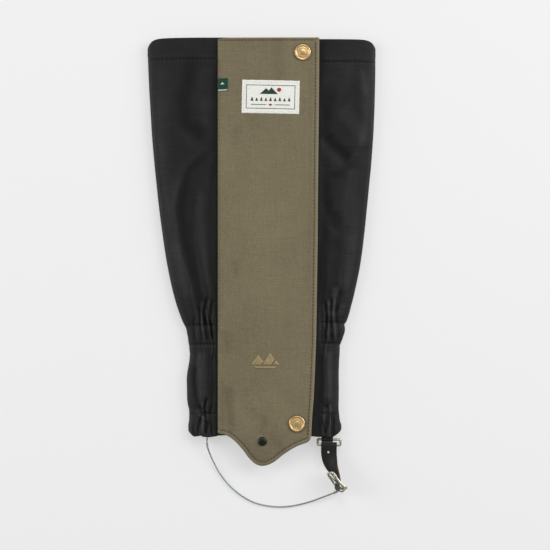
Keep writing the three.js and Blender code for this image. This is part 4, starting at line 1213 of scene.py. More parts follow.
# elastics follow the panels' inner faces
def elastic_object(name, y0, y1, node, front_r, front_l=-31.0):
    ys = np.linspace(y0, y1, 12)
    out = []
    for side, fx in ((-1, front_l), (1, front_r)):
        P, nf = panel_surface(side, ys, nf=60, nq=11, nb=40)
        N = grid_normals(P)
        if np.mean(N[:, :20, 2]) < 0:
            N = -N
        Q = P - N * 1.15
        if side > 0:
            keep = (Q[0, :, 0] > fx) | (np.arange(Q.shape[1]) >= nf)
            Q, N = Q[:, keep], N[:, keep]
        out.append((Q, N))
    Q = np.concatenate([out[0][0], out[1][0][:, ::-1]], 1)
    N = np.concatenate([out[0][1], out[1][1][:, ::-1]], 1)
    o = shell(name, Q, Q - N * 0.8, "elastic_tape", rim=0.2)
    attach(o, "gaiter")
    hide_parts(node)
    return o


elastic_object("ankle_elastic_band", -60.6, -75.4, "ankle_elastic", 24.0)
elastic_object("hem_elastic_band", -147.0, -160.0, "hem_elastic", 40.0)

# ------------------------------------------------------------------ turned metal pieces
SNAPS = {"top": (38.6, 199.7), "bottom": (33.1, -152.4)}
for k, (x, y) in SNAPS.items():
    t = float(flap_top_z(np.array([x]), np.array([y]))[0]) + 0.05
    lift0 = 14.0 + float(flap_lift(x)) + 0.3
    t = max(t, lift0 - 0.35)
    prof = [(0, 13.9), (2.2, 13.9), (2.2, t - 0.1), (6.6, t - 0.1), (7.35, t + 0.1), (7.65, t + 0.55), (7.55, t + 1.05), (7.15, t + 1.42), (6.6, t + 1.5), (6.05, t + 1.36),
            (5.75, t + 1.14), (5.45, t + 1.12), (4.9, t + 1.22), (4.2, t + 1.36), (3.85, t + 1.42), (3.6, t + 1.34), (3.35, t + 1.32), (2.9, t + 1.42),
            (2.2, t + 1.62), (1.2, t + 1.78), (0, t + 1.84)]
    cap = lathe("snap_cap_" + k + "_turned", round_profile(prof, 0.22, 3), (x, y, 0), "snap_brass", segs=96)
    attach(cap, "flap")
    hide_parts("snap_cap_" + k)
    # a ring of small beads
    bv, bf = [], []
    for i in range(18):
        q = 2 * math.pi * i / 18
        c = np.array([x + 4.75 * math.cos(q), y + 4.75 * math.sin(q), t + 1.2])
        b0 = len(bv)
        for a in range(5):
            th = math.pi * 0.5 * a / 4.0
            for b in range(10):
                ph = 2 * math.pi * b / 10
                bv.append(c + 0.42 * np.array([math.cos(th) * math.cos(ph), math.cos(th) * math.sin(ph), math.sin(th) * 0.9]))
        for a in range(4):
            for b in range(10):
                bf.append((b0 + a * 10 + b, b0 + a * 10 + (b + 1) % 10, b0 + (a + 1) * 10 + (b + 1) % 10, b0 + (a + 1) * 10 + b))
        bf.append(tuple(b0 + b for b in range(10))[::-1])
    beads = mesh_obj("snap_cap_" + k + "_beads", bv, bf, "snap_brass")
    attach(beads, "flap")
    u = 12.3 + 2.2 * float(smooth01((x + 41.8) / 56.0)) - 0.3
    soc = lathe("snap_socket_" + k + "_turned", round_profile([(2.6, u - 1.3), (3.4, u - 1.5), (4.4, u - 1.5), (5.9, u - 1.0), (5.9, u), (2.6, u), (2.6, u - 1.3)], 0.18, 3), (x, y, 0),
                "stud_metal", segs=64)
    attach(soc, "flap")
    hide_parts("snap_socket_" + k)
    stud = lathe("snap_stud_" + k + "_turned", round_profile([(0, 10.0), (1.6, 10.0), (1.6, 12.3), (5.4, 12.3), (5.5, 12.45), (4.6, 12.62), (2.1, 12.65), (2.0, 12.9), (2.3, 13.15),
                 (2.25, 13.4), (1.6, 13.6), (0, 13.62)], 0.12, 3), (x, y, 0), "stud_metal", segs=64)
    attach(stud, "gaiter")
    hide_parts("snap_stud_" + k)
    post = lathe("snap_post_" + k + "_turned", round_profile([(2.0, 9.95), (5.0, 9.95), (5.4, 10.3), (5.4, 10.75), (2.0, 10.75), (2.0, 9.95)], 0.16, 3), (x, y, 0), "stud_metal",
                 segs=64)
    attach(post, "gaiter")
    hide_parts("snap_post_" + k)

HX, HY = 0.4, -169.1
tz = float(flap_top_z(np.array([HX]), np.array([HY]))[0])
base = 12.3 + 2.2 * float(smooth01((HX + 41.8) / 56.0)) - 0.8
rivet = lathe("lace_hook_rivet_turned", round_profile([(0, base - 1.5), (2.2, base - 1.5), (2.6, base - 1.2), (2.5, base - 0.8), (1.5, base - 0.8), (1.5, tz), (3.9, tz - 0.05), (4.3, tz + 0.2),
              (4.15, tz + 0.7), (3.5, tz + 1.25), (2.4, tz + 1.7), (1.2, tz + 1.92), (0, tz + 2.0)], 0.25, 3), (HX, HY, 0), "black_metal", segs=64)
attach(rivet, "flap")
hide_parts("lace_hook_rivet")
for s, nm in ((-1, "left"), (1, "right")):
    ey = lathe("drawcord_eyelet_" + nm + "_turned", round_profile([(1.8, -0.0), (4.0, 0.02), (4.1, 0.3), (2.6, 0.55), (2.6, 1.3), (4.2, 1.3), (4.2, 1.75), (1.8, 1.75), (1.8, 0.0)], 0.15, 3),
               (s * 14, 205.5, 0), "black_metal", segs=48)
    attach(ey, "gaiter")
    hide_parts("drawcord_eyelet_" + nm)

# ------------------------------------------------------------------ bands of rounded section
def band(name, stations, width, thick, mat, rnd=0.45, nw=9, edge_attr=True):
    """stations: (centre, width direction, normal). The section is a flat band with rounded edges."""
    h, t = width / 2, thick / 2
    sec, ed = [], []
    nr = 4
    for i in range(nw + 1):
        x = -h + t * rnd + (2 * h - 2 * t * rnd) * i / nw
        sec.append((x, t)); ed.append(0.0)
    for i in range(1, nr + 1):
        a = math.pi / 2 - math.pi * i / (nr + 1)
        sec.append((h - t * rnd + t * rnd * math.cos(a), t * math.sin(a) if abs(math.sin(a)) < 1 else t)); ed.append(1.0)
    for i in range(nw + 1):
        x = h - t * rnd - (2 * h - 2 * t * rnd) * i / nw
        sec.append((x, -t)); ed.append(0.0)
    for i in range(1, nr + 1):
        a = -math.pi / 2 - math.pi * i / (nr + 1)
        sec.append((-h + t * rnd + t * rnd * math.cos(a), t * math.sin(a))); ed.append(1.0)
    m = len(sec)
    verts, at = [], []
    for c, w, n in stations:
        for (a, b), e in zip(sec, ed):
            verts.append(c + w * a + n * b)
            at.append(e)
    faces = []
    k = len(stations)
    for i in range(k - 1):
        for j in range(m):
            j2 = (j + 1) % m
            faces.append((i * m + j, i * m + j2, (i + 1) * m + j2, (i + 1) * m + j))
    faces.append(tuple(range(m)))
    faces.append(tuple((k - 1) * m + j for j in range(m))[::-1])
    o = mesh_obj(name, verts, faces, mat, attrs={"cut_edge": at} if edge_attr else None)
    bm_fix(o)
    return o


def stations_2d(path, to3, w):
    """Stations for a band whose path lies in a plane: to3 maps plane points to space and w is the width direction."""
    P = np.array([to3(a, b) for a, b in path])
    T = np.gradient(P, axis=0)
    T /= np.linalg.norm(T, axis=1, keepdims=True)
    w = np.asarray(w, float)
    return [(p, w, np.cross(t, w) / np.linalg.norm(np.cross(t, w))) for p, t in zip(P, T)]


hp = [(HY + 5.5, base), (HY + 2, base), (HY - 4, base), (HY - 8.0, base - 0.02), (HY - 10.6, base - 0.8), (HY - 11.7, base - 2.2), (HY - 11.1, base - 3.8), (HY - 9.2, base - 4.55),
      (HY - 6.0, base - 4.5), (HY - 2.0, base - 4.2)]
hp = catmull(np.column_stack([hp, np.zeros(len(hp))]), 60)[:, :2]
hook_piece = band("lace_hook_formed", stations_2d(hp, lambda a, b: np.array([HX, a, b]), (1, 0, 0)), 8.0, 1.0, "black_metal", rnd=0.9, edge_attr=False)
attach(hook_piece, "flap")
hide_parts("lace_hook")

# ------------------------------------------------------------------ stirrup
AL = np.array([-52.3, -166.0, 6.0])
AR = np.array([63.8, -167.8, 6.0])
AX = (AR - AL) / np.linalg.norm(AR - AL)
UP = np.array([0, 0, 1.0])
OUT = np.cross(UP, AX)


def sw(o, a, b, c):
    return o + AX * a + OUT * b + UP * c


# hem ring
def rounded_rect(w, h, r, n=7):
    pts = []
    for cx, cy, a0 in ((w - r, h - r, 0), (-w + r, h - r, 90), (-w + r, -h + r, 180), (w - r, -h + r, 270)):
        for i in range(n + 1):
            a = math.radians(a0 + 90 * i / n)
            pts.append((cx + r * math.cos(a), cy + r * math.sin(a)))
    out = []
    for i, p in enumerate(pts):
        q = pts[(i + 1) % len(pts)]
        out.append(p)
        d = math.hypot(q[0] - p[0], q[1] - p[1])
        for k in range(1, int(d / 1.5)):
            t = k / int(d / 1.5)
            out.append((p[0] + (q[0] - p[0]) * t, p[1] + (q[1] - p[1]) * t))
    return out


ring = sweep("hem_ring_wire", [sw(AR, a, b - 2.75, 0) for a, b in rounded_rect(10.75, 2.75, 1.2)], 1.2, "ring_steel", closed=True, segs=18)
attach(ring, "stirrup")
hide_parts("hem_ring")

# webbing tab round the ring's upper bar
wr = 1.25 + 0.3 + 0.45
arc = lambda cx, cy, r, a0, a1, n: [(cx + r * math.cos(math.radians(a0 + (a1 - a0) * i / n)), cy + r * math.sin(math.radians(a0 + (a1 - a0) * i / n))) for i in range(n + 1)]
tp = [(31, 2.2), (26, 2.2), (22, 2.2), (18, 2.2), (13, 2.15), (8, 2.1), (3, 2.0), *arc(0, 0, wr, 90, 270, 18), (2.5, -1.7), (5, -0.8), (8, 0.6), (12, 0.9), (16.5, 1.0), (22, 1.05), (31, 1.05)]
o2 = sw(AR, -1.8, 0, 0)
tab_band = band("ring_tab_webbing", stations_2d(tp, lambda a, b: o2 + OUT * a + UP * b, AX), 11, 0.9, "shell_cloth", rnd=0.9, edge_attr=False)
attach(tab_band, "gaiter")
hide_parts("ring_tab")
ct = [(27, 0.6), (24, 0.6), (21, 0.6), (18.5, 0.6), (16, 0.5), (12, 0.4), (9, 0.2), (7.2, 0.1), (5, 0.0), (0.45, 0.0)]
ct = catmull(np.column_stack([ct, np.zeros(len(ct))]), 50)[:, :2]
ctab = band("cable_tab_webbing", stations_2d(ct, lambda a, b: AL + OUT * a + UP * b, AX), 9, 0.9, "shell_cloth", rnd=0.9, edge_attr=False)
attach(ctab, "gaiter")
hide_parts("cable_tab")
hc = sw(AL, 0, 3.8, 0)
eye = lathe("cable_tab_eyelet_turned", round_profile([(1.5, 4.85), (2.95, 4.85), (2.95, 5.3), (1.9, 5.5), (1.9, 6.5), (2.95, 6.7), (2.95, 7.15), (1.5, 7.15), (1.5, 4.85)], 0.15, 3), (hc[0], hc[1], 0),
            "black_metal", segs=40)
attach(eye, "gaiter")
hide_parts("cable_tab_eyelet")

# buckle directions
TILT = math.radians(16)
BU = np.array([-0.566, 0.8244, 0.0]); BU /= np.linalg.norm(BU)
SD = np.array([BU[1], -BU[0], 0.0])
BW = SD * math.sin(TILT) + UP * math.cos(TILT)
BN = np.cross(BW, BU)
BO = np.array([74.7, -214.1, 12.0])


def bk(u, n, w=0.0):
    return BO + BU * u + BN * n + BW * w


HEEL = (-1.5, -2.4)
camber_u = np.array([-1.5, 0.8, 3, 6, 18])
camber_n = np.array([-2.4, -1.5, -0.35, 0, 0])
rr = rounded_rect(9.75, 10.0, 1.9)
loop_pts = []
for a, b in rr:
    u = a + 8.25
    loop_pts.append(bk(u, float(np.interp(u, camber_u, camber_n)), b))
lp = np.array(loop_pts)
for _ in range(2):
    lp = 0.25 * np.roll(lp, 1, 0) + 0.5 * lp + 0.25 * np.roll(lp, -1, 0)
buckle = sweep("buckle_frame_bar", lp, 1.15, "ring_steel", closed=True, segs=18)
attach(buckle, "stirrup")
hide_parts("buckle_frame")
# roller on the heel bar's upper half, and a small shoulder on the side bar
roll = sweep("buckle_heel_roller", [bk(HEEL[0], HEEL[1], w) for w in np.linspace(2.2, 8.2, 8)], 1.75, "ring_steel", segs=22)
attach(roll, "stirrup")
sh = sweep("buckle_side_shoulder", [bk(u, 0.0, 10.0) for u in (12.2, 12.8, 13.4, 14.0, 14.6)], [1.2, 1.5, 1.65, 1.5, 1.2], "ring_steel", segs=18)
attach(sh, "stirrup")

# prong
pp = [(0.2, -0.9), (1.2, -0.7), (2.5, -0.5), (6, -0.15), (10, 0.55), (14, 1.3), (18, 1.95), (19.4, 2.05)]
pp = catmull(np.column_stack([pp, np.zeros(len(pp))]), 40)[:, :2]
pr = np.linspace(0.85, 0.6, 40)
prong = sweep("buckle_prong_bar", [bk(u, n) for u, n in pp], pr, "ring_steel", segs=16, scale=(1.25, 0.85), ref=BN)
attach(prong, "prong")
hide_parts("buckle_prong")
pring = lathe("buckle_prong_ring", round_profile([(1.4, -1.3), (2.25, -1.3), (2.25, 1.3), (1.4, 1.3), (1.4, -1.3)], 0.3, 3), bk(*HEEL), "ring_steel", segs=36, axis=(BU, BN, BW))
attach(pring, "prong")

# strap
low = sw(AR, 0, -5.5, 0)
rs = 1.25 + 0.3 + 0.7
leg = [(-7.2, -0.9), (-5.0, -1.25), (-2.2, -2.1), *arc(0, 0, rs, 262, 450, 18)]
ctl = []
for a, b in leg:
    ctl.append((*(low + OUT * a + UP * b), *AX))
main = [((63.5, -178.5, 7.75), 3), ((63.6, -183.0, 7.5), 10), ((64.6, -188.0, 7.9), 24), ((66.3, -193.0, 9.0), 38)]
buckled = [(18, -5.0, 18), (14, -4.1, 10), (11, -3.5, 5), (8.6, -2.9, 0), (6.9, -2.0, 0), (5.7, -0.8, 0), (4.7, 0.6, 0), (3.6, 1.7, 0), (2.2, 2.2, 0), (0.4, 2.3, 0)]
cs = [np.array(c, float) for c, _ in main] + [bk(u, n) for u, n, _ in buckled]
full = [low + OUT * a + UP * b for a, b in leg] + cs
nl = len(leg)
dirs = []
for i, c in enumerate(full):
    t = full[min(len(full) - 1, i + 1)] - full[max(0, i - 1)]
    t = t / np.linalg.norm(t)
    if i < nl:
        w = AX.copy()
    elif i < nl + 4:
        roll_a = math.radians(main[i - nl][1])
        flat = np.array([-t[1], t[0], 0.0]); flat /= np.linalg.norm(flat)
        w = flat * math.cos(roll_a) + UP * math.sin(roll_a)
    else:
        roll_a = math.radians(buckled[i - nl - 4][2])
        w = BW * math.cos(roll_a) - BN * math.sin(roll_a)
    dirs.append(w)
data = np.column_stack([np.array(full), np.array(dirs)])
sm = catmull(data, 190)
k_arc = int(190 * 0.33)
k_mid = int(np.argmin(np.linalg.norm(sm[:, :3] - bk(13, -3.9), axis=1)))
for it in range(110):  # lets the turn of the strap run out evenly
    e_ = k_mid if it > 24 else 178
    sm[k_arc:e_] = 0.25 * sm[k_arc - 1:e_ - 1] + 0.5 * sm[k_arc:e_] + 0.25 * sm[k_arc + 1:e_ + 1]
T = np.gradient(sm[:, :3], axis=0)
T /= np.linalg.norm(T, axis=1, keepdims=True)
stn = []
for p, w, t in zip(sm[:, :3], sm[:, 3:], T):
    w = w - t * np.dot(w, t)
    w /= np.linalg.norm(w)
    stn.append((p, w, np.cross(t, w)))
strap = band("strap_of_leather", stn, 15.0, 1.4, "strap_leather", rnd=0.35, nw=16)


def cut(obj, cutter):
    md = obj.modifiers.new("cut", "BOOLEAN")
    md.operation = "DIFFERENCE"
    md.object = cutter
    md.solver = "EXACT"
    bpy.context.view_layer.update()
    dg = bpy.context.evaluated_depsgraph_get()
    me = bpy.data.meshes.new_from_object(obj.evaluated_get(dg))
    obj.modifiers.remove(md)
    if len(me.polygons) > 50:
        obj.data = me
    bpy.data.objects.remove(cutter, do_unlink=True)


def cutter(path, r):
    return sweep("cutter", path, r, "black_metal", segs=24)


cut(strap, cutter([(63.1, -179.9, z) for z in (2, 5, 8, 12)], 1.0))
slot_pts = [bk(5.3 + d, n) for d, n in ((0, -4), (0, -1), (0, 2), (0, 5))]
cut(strap, cutter(slot_pts, 1.45))
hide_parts("leather_strap", "strap_tail")
W(bk(7.2, 0))
W(bk(4.2, 0))
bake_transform(strap)
# stitches of the strap's fold
sp = []
for off in (-5.6, 5.6):
    p = np.array([s[0] + s[1] * off + s[2] * 0.7 for s in stn])
    n = np.array([s[2] for s in stn])
    k = [i for i, s in enumerate(stn) if -180.2 < s[0][1] < -172.2 and s[0][2] > 6.5]
    sp.append((p[k], n[k]))
sgn = 1.0 if sp[0][1][0][2] > 0 else -1.0
sp = [(p + n * 0.0, n * sgn) for p, n in sp]
strap_thread = stitches("strap_fold_thread", sp, "thread_black", length=1.9, gap=0.6, r=0.26, lift=0.05)
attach(strap_thread, "stirrup")

# cable: six strands laid round each other
c_eye = bk(HEEL[0], HEEL[1], -7)
d_r = np.array([-0.886, -0.463, -0.08]); d_r /= np.linalg.norm(d_r)
cr0 = c_eye + d_r * (2.6 + 0.7 + 0.3)
cr1 = c_eye + d_r * (2.6 + 0.7 + 0.3 + 4.6)
c_end = c_eye + d_r * (2.6 + 0.7 + 0.6 + 4.6)
l0 = sw(AL, 0, -(3.8 + 0.7 + 0.3), 0)
d_l = np.array([0.1, -0.985, -0.1]); d_l /= np.linalg.norm(d_l)
l1 = l0 + d_l * 4.0
c_start = l0 + d_l * 4.3
run = [c_start, (-50.1, -180.5, 3.9), (-45.8, -190.4, 2.3), (-39.7, -201.3, 1.2), (-30.7, -212.6, 0.9), (-20.0, -221.6, 0.85), (-8.0, -228.2, 0.85), (4.2, -231.4, 0.85),
       (17.8, -232.5, 0.85), (29.9, -231.4, 0.85), (45.0, -227.8, 1.2), (58.5, -222.9, 2.6), c_end]
run = np.array([np.asarray(p, float) for p in run])
cp = resample(catmull(run, 400), 0.45)


def cable_mesh(name, P, r):
    n = len(P)
    T = np.gradient(P, axis=0)
    T /= np.linalg.norm(T, axis=1, keepdims=True)
    N = np.zeros_like(P)
    v = UP - T[0] * T[0][2]
    N[0] = v / np.linalg.norm(v)
    for i in range(1, n):
        v = N[i - 1] - T[i] * np.dot(N[i - 1], T[i])
        N[i] = v / np.linalg.norm(v)
    B = np.cross(T, N)
    segs = 30
    a = np.linspace(0, 2 * np.pi, segs, endpoint=False)
    s = np.arange(n) * 0.45
    ph = a[None, :] * 6 + (s[:, None] * 2 * np.pi / 7.5) * 6
    rad = r * (0.90 + 0.10 * np.abs(np.cos(ph / 2)))
    V = P[:, None, :] + rad[..., None] * (N[:, None, :] * np.cos(a)[None, :, None] + B[:, None, :] * np.sin(a)[None, :, None])
    verts = list(V.reshape(-1, 3))
    faces = []
    for i in range(n - 1):
        for j in range(segs):
            j2 = (j + 1) % segs
            faces.append((i * segs + j, (i + 1) * segs + j, (i + 1) * segs + j2, i * segs + j2))
    faces.append(tuple(range(segs)))
    faces.append(tuple((n - 1) * segs + j for j in range(segs))[::-1])
    o = mesh_obj(name, verts, faces, "cable_steel")
    bm_fix(o)
    return o


cable = cable_mesh("stirrup_cable_strands", cp, 0.78)
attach(cable, "stirrup")
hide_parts("stirrup_cable")


def crimp(name, a, b, r, node):
    n = 15
    P = [a + (b - a) * t for t in np.linspace(0, 1, n)]
    rad = [r * (0.86 if i in (0, n - 1) else 1.0 - 0.10 * (1 if i in (4, 5, 9, 10) else 0)) for i in range(n)]
    o = sweep(name, P, rad, "cable_steel", segs=20)
    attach(o, "stirrup")
    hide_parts(node)
    return o


crimp_l = crimp("cable_crimp_left_pressed", l0, l1 + d_l * 0.4, 1.05, "cable_crimp_left")
crimp_r = crimp("cable_crimp_right_pressed", cr0, cr1 + d_r * 0.4, 1.25, "cable_crimp_right")


def eye_ring(name, c, X, Y, R, r, node):
    P = [c + X * R * math.cos(q) + Y * R * math.sin(q) for q in np.linspace(0, 2 * np.pi, 48, endpoint=False)]
    o = sweep(name, P, r, "cable_steel", closed=True, segs=14, ref=np.cross(X, Y))
    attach(o, "stirrup")
    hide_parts(node)
    return o


eye_l = eye_ring("cable_eye_left_loop", AL, OUT, UP, 3.8, 0.72, "cable_eye_left")
eye_r = eye_ring("cable_eye_right_loop", c_eye, np.array([1.0, 0, 0]), np.array([0, 1.0, 0]), 2.6, 0.72, "cable_eye_right")
W(c_start)
W(cp).tolist()

# ------------------------------------------------------------------ label, tab and badge
LC, LW, LH, LT = (8.2, 157.4), 54.4, 31.4, math.radians(-1.3)


def label_xy(u, v):
    x, y = u, v
    return LC[0] + x * math.cos(LT) - y * math.sin(LT), LC[1] + x * math.sin(LT) + y * math.cos(LT)


def label_z(u, v, dz=0.0):
    x, y = label_xy(u, v)
    return flap_top_z(x, y) + 0.42 + dz


nu, nv = 90, 54
U, V = np.meshgrid(np.linspace(-LW / 2, LW / 2, nu), np.linspace(LH / 2, -LH / 2, nv))
wavy = 0.05 * np.sin(V * 0.9) * np.exp(-((LW / 2 - np.abs(U)) / 0.8)) * np.sign(U)
wavy2 = 0.06 * np.sin(U * 0.7 + 1) * np.exp(-((LH / 2 - np.abs(V)) / 0.8)) * np.sign(V)
Xg, Yg = label_xy(U + wavy, V + wavy2)
edge = np.minimum(LW / 2 - np.abs(U), LH / 2 - np.abs(V))
Zg = label_z(U, V) + 0.10 * np.exp(-((edge - 0.8) / 0.7) ** 2) - 0.12 * np.exp(-((edge - 1.9) / 0.35) ** 2) - 0.25 * np.clip(1 - edge / 0.5, 0, 1) ** 2
label = shell("woven_label_cloth", np.stack([Xg, Yg, Zg], -1), np.stack([Xg, Yg, Zg - 0.45], -1), "label_cloth", rim=0.3)
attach(label, "flap")
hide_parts("woven_label")


def thread_run(name, pts_uv, mat, slot, r=0.3, body="flap", zfun=None, closed=False, dz=0.1, flat=0.5):
    p = resample(pts_uv, 0.5)
    pts = []
    for a, b in p:
        if zfun is None:
            x, y = label_xy(a, b)
            z = float(label_z(a, b)) + dz
        else:
            x, y = a, b
            z = float(zfun(a, b)) + dz
        pts.append((x, y, z))
    o = sweep(name, pts, r, mat, segs=8, scale=(1.0, flat))
    return o


def satin(name, polys, angle, spacing, r, mat, slot, xyfun, zfun, body, dome=0.25):
    """Fills polygons with side-by-side threads."""
    verts, faces = [], []
    ca, sa = math.cos(angle), math.sin(angle)
    ns = 6
    for poly in polys:
        poly = np.asarray(poly, float)
        q = np.stack([poly[:, 0] * ca + poly[:, 1] * sa, -poly[:, 0] * sa + poly[:, 1] * ca], 1)
        lo, hi = q[:, 1].min(), q[:, 1].max()
        for t in np.arange(lo + spacing / 2, hi, spacing):
            xs = []
            for i in range(len(q)):
                a, b = q[i], q[(i + 1) % len(q)]
                if (a[1] - t) * (b[1] - t) < 0:
                    xs.append(a[0] + (t - a[1]) / (b[1] - a[1]) * (b[0] - a[0]))
            xs.sort()
            for x0, x1 in zip(xs[::2], xs[1::2]):
                if x1 - x0 < 0.25:
                    continue
                m = max(4, int((x1 - x0) / 0.7) + 2)
                b0 = len(verts)
                for i in range(m):
                    s = i / (m - 1)
                    a = x0 + (x1 - x0) * s
                    u, v = a * ca - t * sa, a * sa + t * ca
                    X, Y = xyfun(u, v)
                    Z = zfun(u, v) + dome * (4 * s * (1 - s)) ** 0.5 * min(1.0, (x1 - x0) / 3.0)
                    c = np.array([X, Y, float(Z)])
                    rr = r * (0.5 if i in (0, m - 1) else 1.0)
                    N = np.array([0, 0, 1.0])
                    Bv = np.array([-sa, ca, 0.0])
                    for k in range(ns):
                        g = 2 * math.pi * k / ns
                        verts.append(c + Bv * rr * math.cos(g) + N * rr * math.sin(g))
                for i in range(m - 1):
                    for k in range(ns):
                        k2 = (k + 1) % ns
                        faces.append((b0 + i * ns + k, b0 + (i + 1) * ns + k, b0 + (i + 1) * ns + k2, b0 + i * ns + k2))
                faces.append(tuple(b0 + k for k in range(ns))[::-1])
                faces.append(tuple(b0 + (m - 1) * ns + k for k in range(ns)))
    o = mesh_obj(name, verts, faces, mat)
    bm_fix(o)
    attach(o, body)
    return o


lz = lambda u, v: label_z(u, v) + 0.02
# border of the label: a fine frame of thread
bw, bh = LW / 2 - 3.9, LH / 2 - 4.3
frame_polys = [[(-bw, bh), (bw, bh), (bw, bh - 0.75), (-bw, bh - 0.75)], [(-bw, -bh + 0.75), (bw, -bh + 0.75), (bw, -bh), (-bw, -bh)]]
satin("label_frame_h", frame_polys, math.pi / 2, 0.34, 0.17, "thread_grey", "label_cloth", label_xy, lz, "flap", dome=0.05)
frame_polys = [[(-bw, bh), (-bw + 0.75, bh), (-bw + 0.75, -bh), (-bw, -bh)], [(bw - 0.75, bh), (bw, bh), (bw, -bh), (bw - 0.75, -bh)]]
satin("label_frame_v", frame_polys, 0.0, 0.34, 0.17, "thread_grey", "label_cloth", label_xy, lz, "flap", dome=0.05)
# generic hill and fir trees
hills = [[(-10.5, 2.6), (-4.4, 8.2), (-2.0, 5.9), (0.6, 9.0), (7.0, 2.6)]]
satin("label_hills", hills, math.pi / 2, 0.33, 0.18, "thread_green", "label_cloth", label_xy, lz, "flap", dome=0.12)
trees = []
for i in range(9):
    cx = -17.6 + 4.4 * i
    hgt = 4.3 if i % 2 == 0 else 3.5
    trees.append([(cx - 1.35, -4.0), (cx, -4.0 + hgt), (cx + 1.35, -4.0)])
satin("label_trees", trees, math.pi / 2, 0.33, 0.18, "thread_green", "label_cloth", label_xy, lz, "flap", dome=0.1)
bars = [[(-18.5, -7.0), (-4.0, -7.0), (-4.0, -7.8), (-18.5, -7.8)], [(4.0, -7.0), (18.5, -7.0), (18.5, -7.8), (4.0, -7.8)]]
satin("label_bars", bars, math.pi / 2, 0.36, 0.18, "thread_grey", "label_cloth", label_xy, lz, "flap", dome=0.05)
satin("label_dot", [[(-2.1, -7.4), (0, -6.2), (2.1, -7.4), (0, -8.6)]], math.pi / 2, 0.34, 0.18, "thread_rust", "label_cloth", label_xy, lz, "flap", dome=0.1)
sun = [(7.9 + 2.0 * math.cos(q), 6.9 + 2.0 * math.sin(q)) for q in np.linspace(0, 2 * np.pi, 20, endpoint=False)]
satin("label_sun", [sun], math.pi / 2, 0.33, 0.18, "thread_rust", "label_cloth", label_xy, lz, "flap", dome=0.12)
# stitches that hold the label
lp_ = resample([(-LW / 2 + 1.9, LH / 2 - 1.9), (LW / 2 - 1.9, LH / 2 - 1.9), (LW / 2 - 1.9, -LH / 2 + 1.9), (-LW / 2 + 1.9, -LH / 2 + 1.9), (-LW / 2 + 1.9, LH / 2 - 1.9)], 1.0)
lpts = np.array([(*label_xy(a, b), float(label_z(a, b)) - 0.08) for a, b in lp_])
lab_thread = stitches("label_edge_thread", [(lpts, np.tile([0, 0, 1.0], (len(lpts), 1)))], "thread_white", length=1.7, gap=0.5, r=0.2, lift=0.05)
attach(lab_thread, "flap")

# side tab, folded into the seam
tx0, tx1, ty0, ty1 = -41.5, -32.4, 163.0, 174.9
U, V = np.meshgrid(np.linspace(tx0, tx1, 26), np.linspace(ty1, ty0, 32))
rim_ = np.clip(1 - np.minimum(tx1 - U, np.minimum(ty1 - V, V - ty0)) / 0.7, 0, 1)
Zt = flap_top_z(U, V) + 0.62 - 0.25 * rim_ ** 2 + 0.1 * np.sin(U * 0.7)
tab = shell("side_tab_cloth", np.stack([U, V + 0.25 * (U - tx0) / 9, Zt], -1), np.stack([U, V + 0.25 * (U - tx0) / 9, Zt - 0.5], -1), "tab_cloth", rim=0.35)
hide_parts("side_tab")
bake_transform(tab)


def plain_xy(u, v):
    return u, v


def satin_blend(*a, **k):
    o = satin(*a, **k)
    o.parent = None
    del o["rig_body"]
    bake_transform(o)
    return o


tzf = lambda u, v: flap_top_z(u, v) + 0.66
satin_blend("tab_lower_edge", [[(tx0 + 0.3, 164.4), (tx1 - 0.4, 164.8), (tx1 - 0.4, 163.6), (tx0 + 0.3, 163.2)]], math.pi / 2, 0.34, 0.2, "thread_white", "tab_cloth", plain_xy, tzf, "flap", dome=0.06)
satin_blend("tab_mark", [[(-39.6, 169.2), (-37.4, 171.6), (-36.4, 170.3), (-35.4, 169.2)]], math.pi / 2, 0.34, 0.2, "thread_white", "tab_cloth", plain_xy, tzf, "flap", dome=0.08)

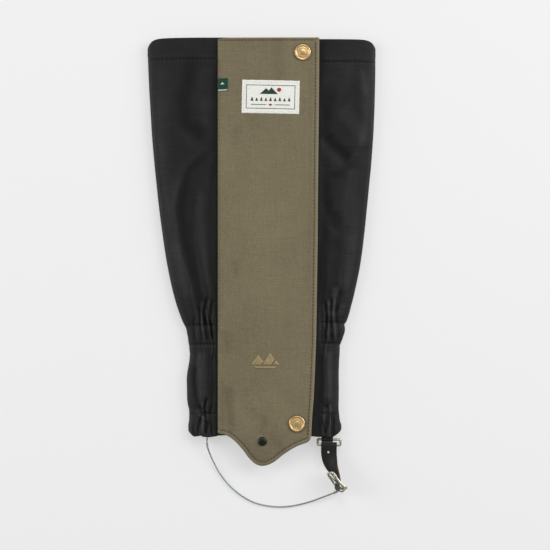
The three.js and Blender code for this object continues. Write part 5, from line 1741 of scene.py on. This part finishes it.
# badge: generic peaks in satin stitch
bx, by = 3.2, -92.6
peaks = [
    [(bx - 14.4, by - 4.2), (bx - 6.6, by + 5.6), (bx - 1.4, by - 0.9), (bx - 4.4, by - 4.2)],
    [(bx - 3.2, by - 4.2), (bx + 4.6, by + 7.6), (bx + 9.2, by + 1.2), (bx + 5.4, by - 4.2)],
    [(bx + 6.6, by - 4.2), (bx + 10.2, by + 0.6), (bx + 14.4, by - 4.2)],
    [(bx - 12.0, by - 5.4), (bx + 12.0, by - 5.4), (bx + 9.0, by - 7.4), (bx - 9.0, by - 7.4)],
]
bzf = lambda u, v: flap_top_z(u, v) + 0.16
badge = satin("badge_satin", peaks, math.radians(68), 0.42, 0.27, "embroidery", "embroidery", plain_xy, bzf, "flap", dome=0.38)
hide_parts("embroidered_badge")


# ------------------------------------------------------------------ stage and light
bpy.ops.mesh.primitive_plane_add(size=12, location=(0, 0, -0.0004))
floor = bpy.context.object
floor.name = "floor"
fm, fnt, fb = new_mat("floor")
fb.inputs["Base Color"].default_value = (0.42, 0.42, 0.42, 1)
fb.inputs["Emission Color"].default_value = (1, 1, 1, 1)
fb.inputs["Emission Strength"].default_value = 0.49
fb.inputs["Roughness"].default_value = 0.9
fb.inputs["Specular IOR Level"].default_value = 0.1
floor.data.materials.append(fm)

world = bpy.data.worlds.new("studio")
scene.world = world
world.use_nodes = True
bg = world.node_tree.nodes["Background"]
bg.inputs[0].default_value = (1.0, 1.0, 1.0, 1)
bg.inputs[1].default_value = 0.30


def area(name, loc, size, energy, target=(0, 0, 0), color=(1, 1, 1), size_y=None):
    d = bpy.data.lights.new(name, "AREA")
    d.shape = "RECTANGLE"
    d.size = size
    d.size_y = size_y or size
    d.energy = energy
    d.color = color
    o = bpy.data.objects.new(name, d)
    o.location = loc
    v = Vector(target) - Vector(loc)
    o.rotation_euler = v.to_track_quat("-Z", "Y").to_euler()
    scene.collection.objects.link(o)
    return o


area("softbox_right", (1.9, 0.75, 1.15), 1.1, 30, size_y=1.5)
area("softbox_left", (-1.9, 0.35, 1.0), 1.1, 21, size_y=1.5)
area("softbox_top", (0.3, 1.7, 1.9), 1.2, 14)

scene.view_settings.view_transform = "Standard"
scene.view_settings.look = "None"
scene.view_settings.exposure = 0.0

# carried-over CAD nodes, if any are still showing, get their own procedural finish
SLOT_OF = {s["node"]: s["material_slot"] for s in frame["record"].get("subparts", []) if "material_slot" in s}
for nm, ob in NODES.items():
    if ob.hide_render:
        continue
    key = SLOT_OF.get(nm, "stud_metal")
    ob.data.materials.clear()
    ob.data.materials.append(MAT.get(key, MAT["stud_metal"]))
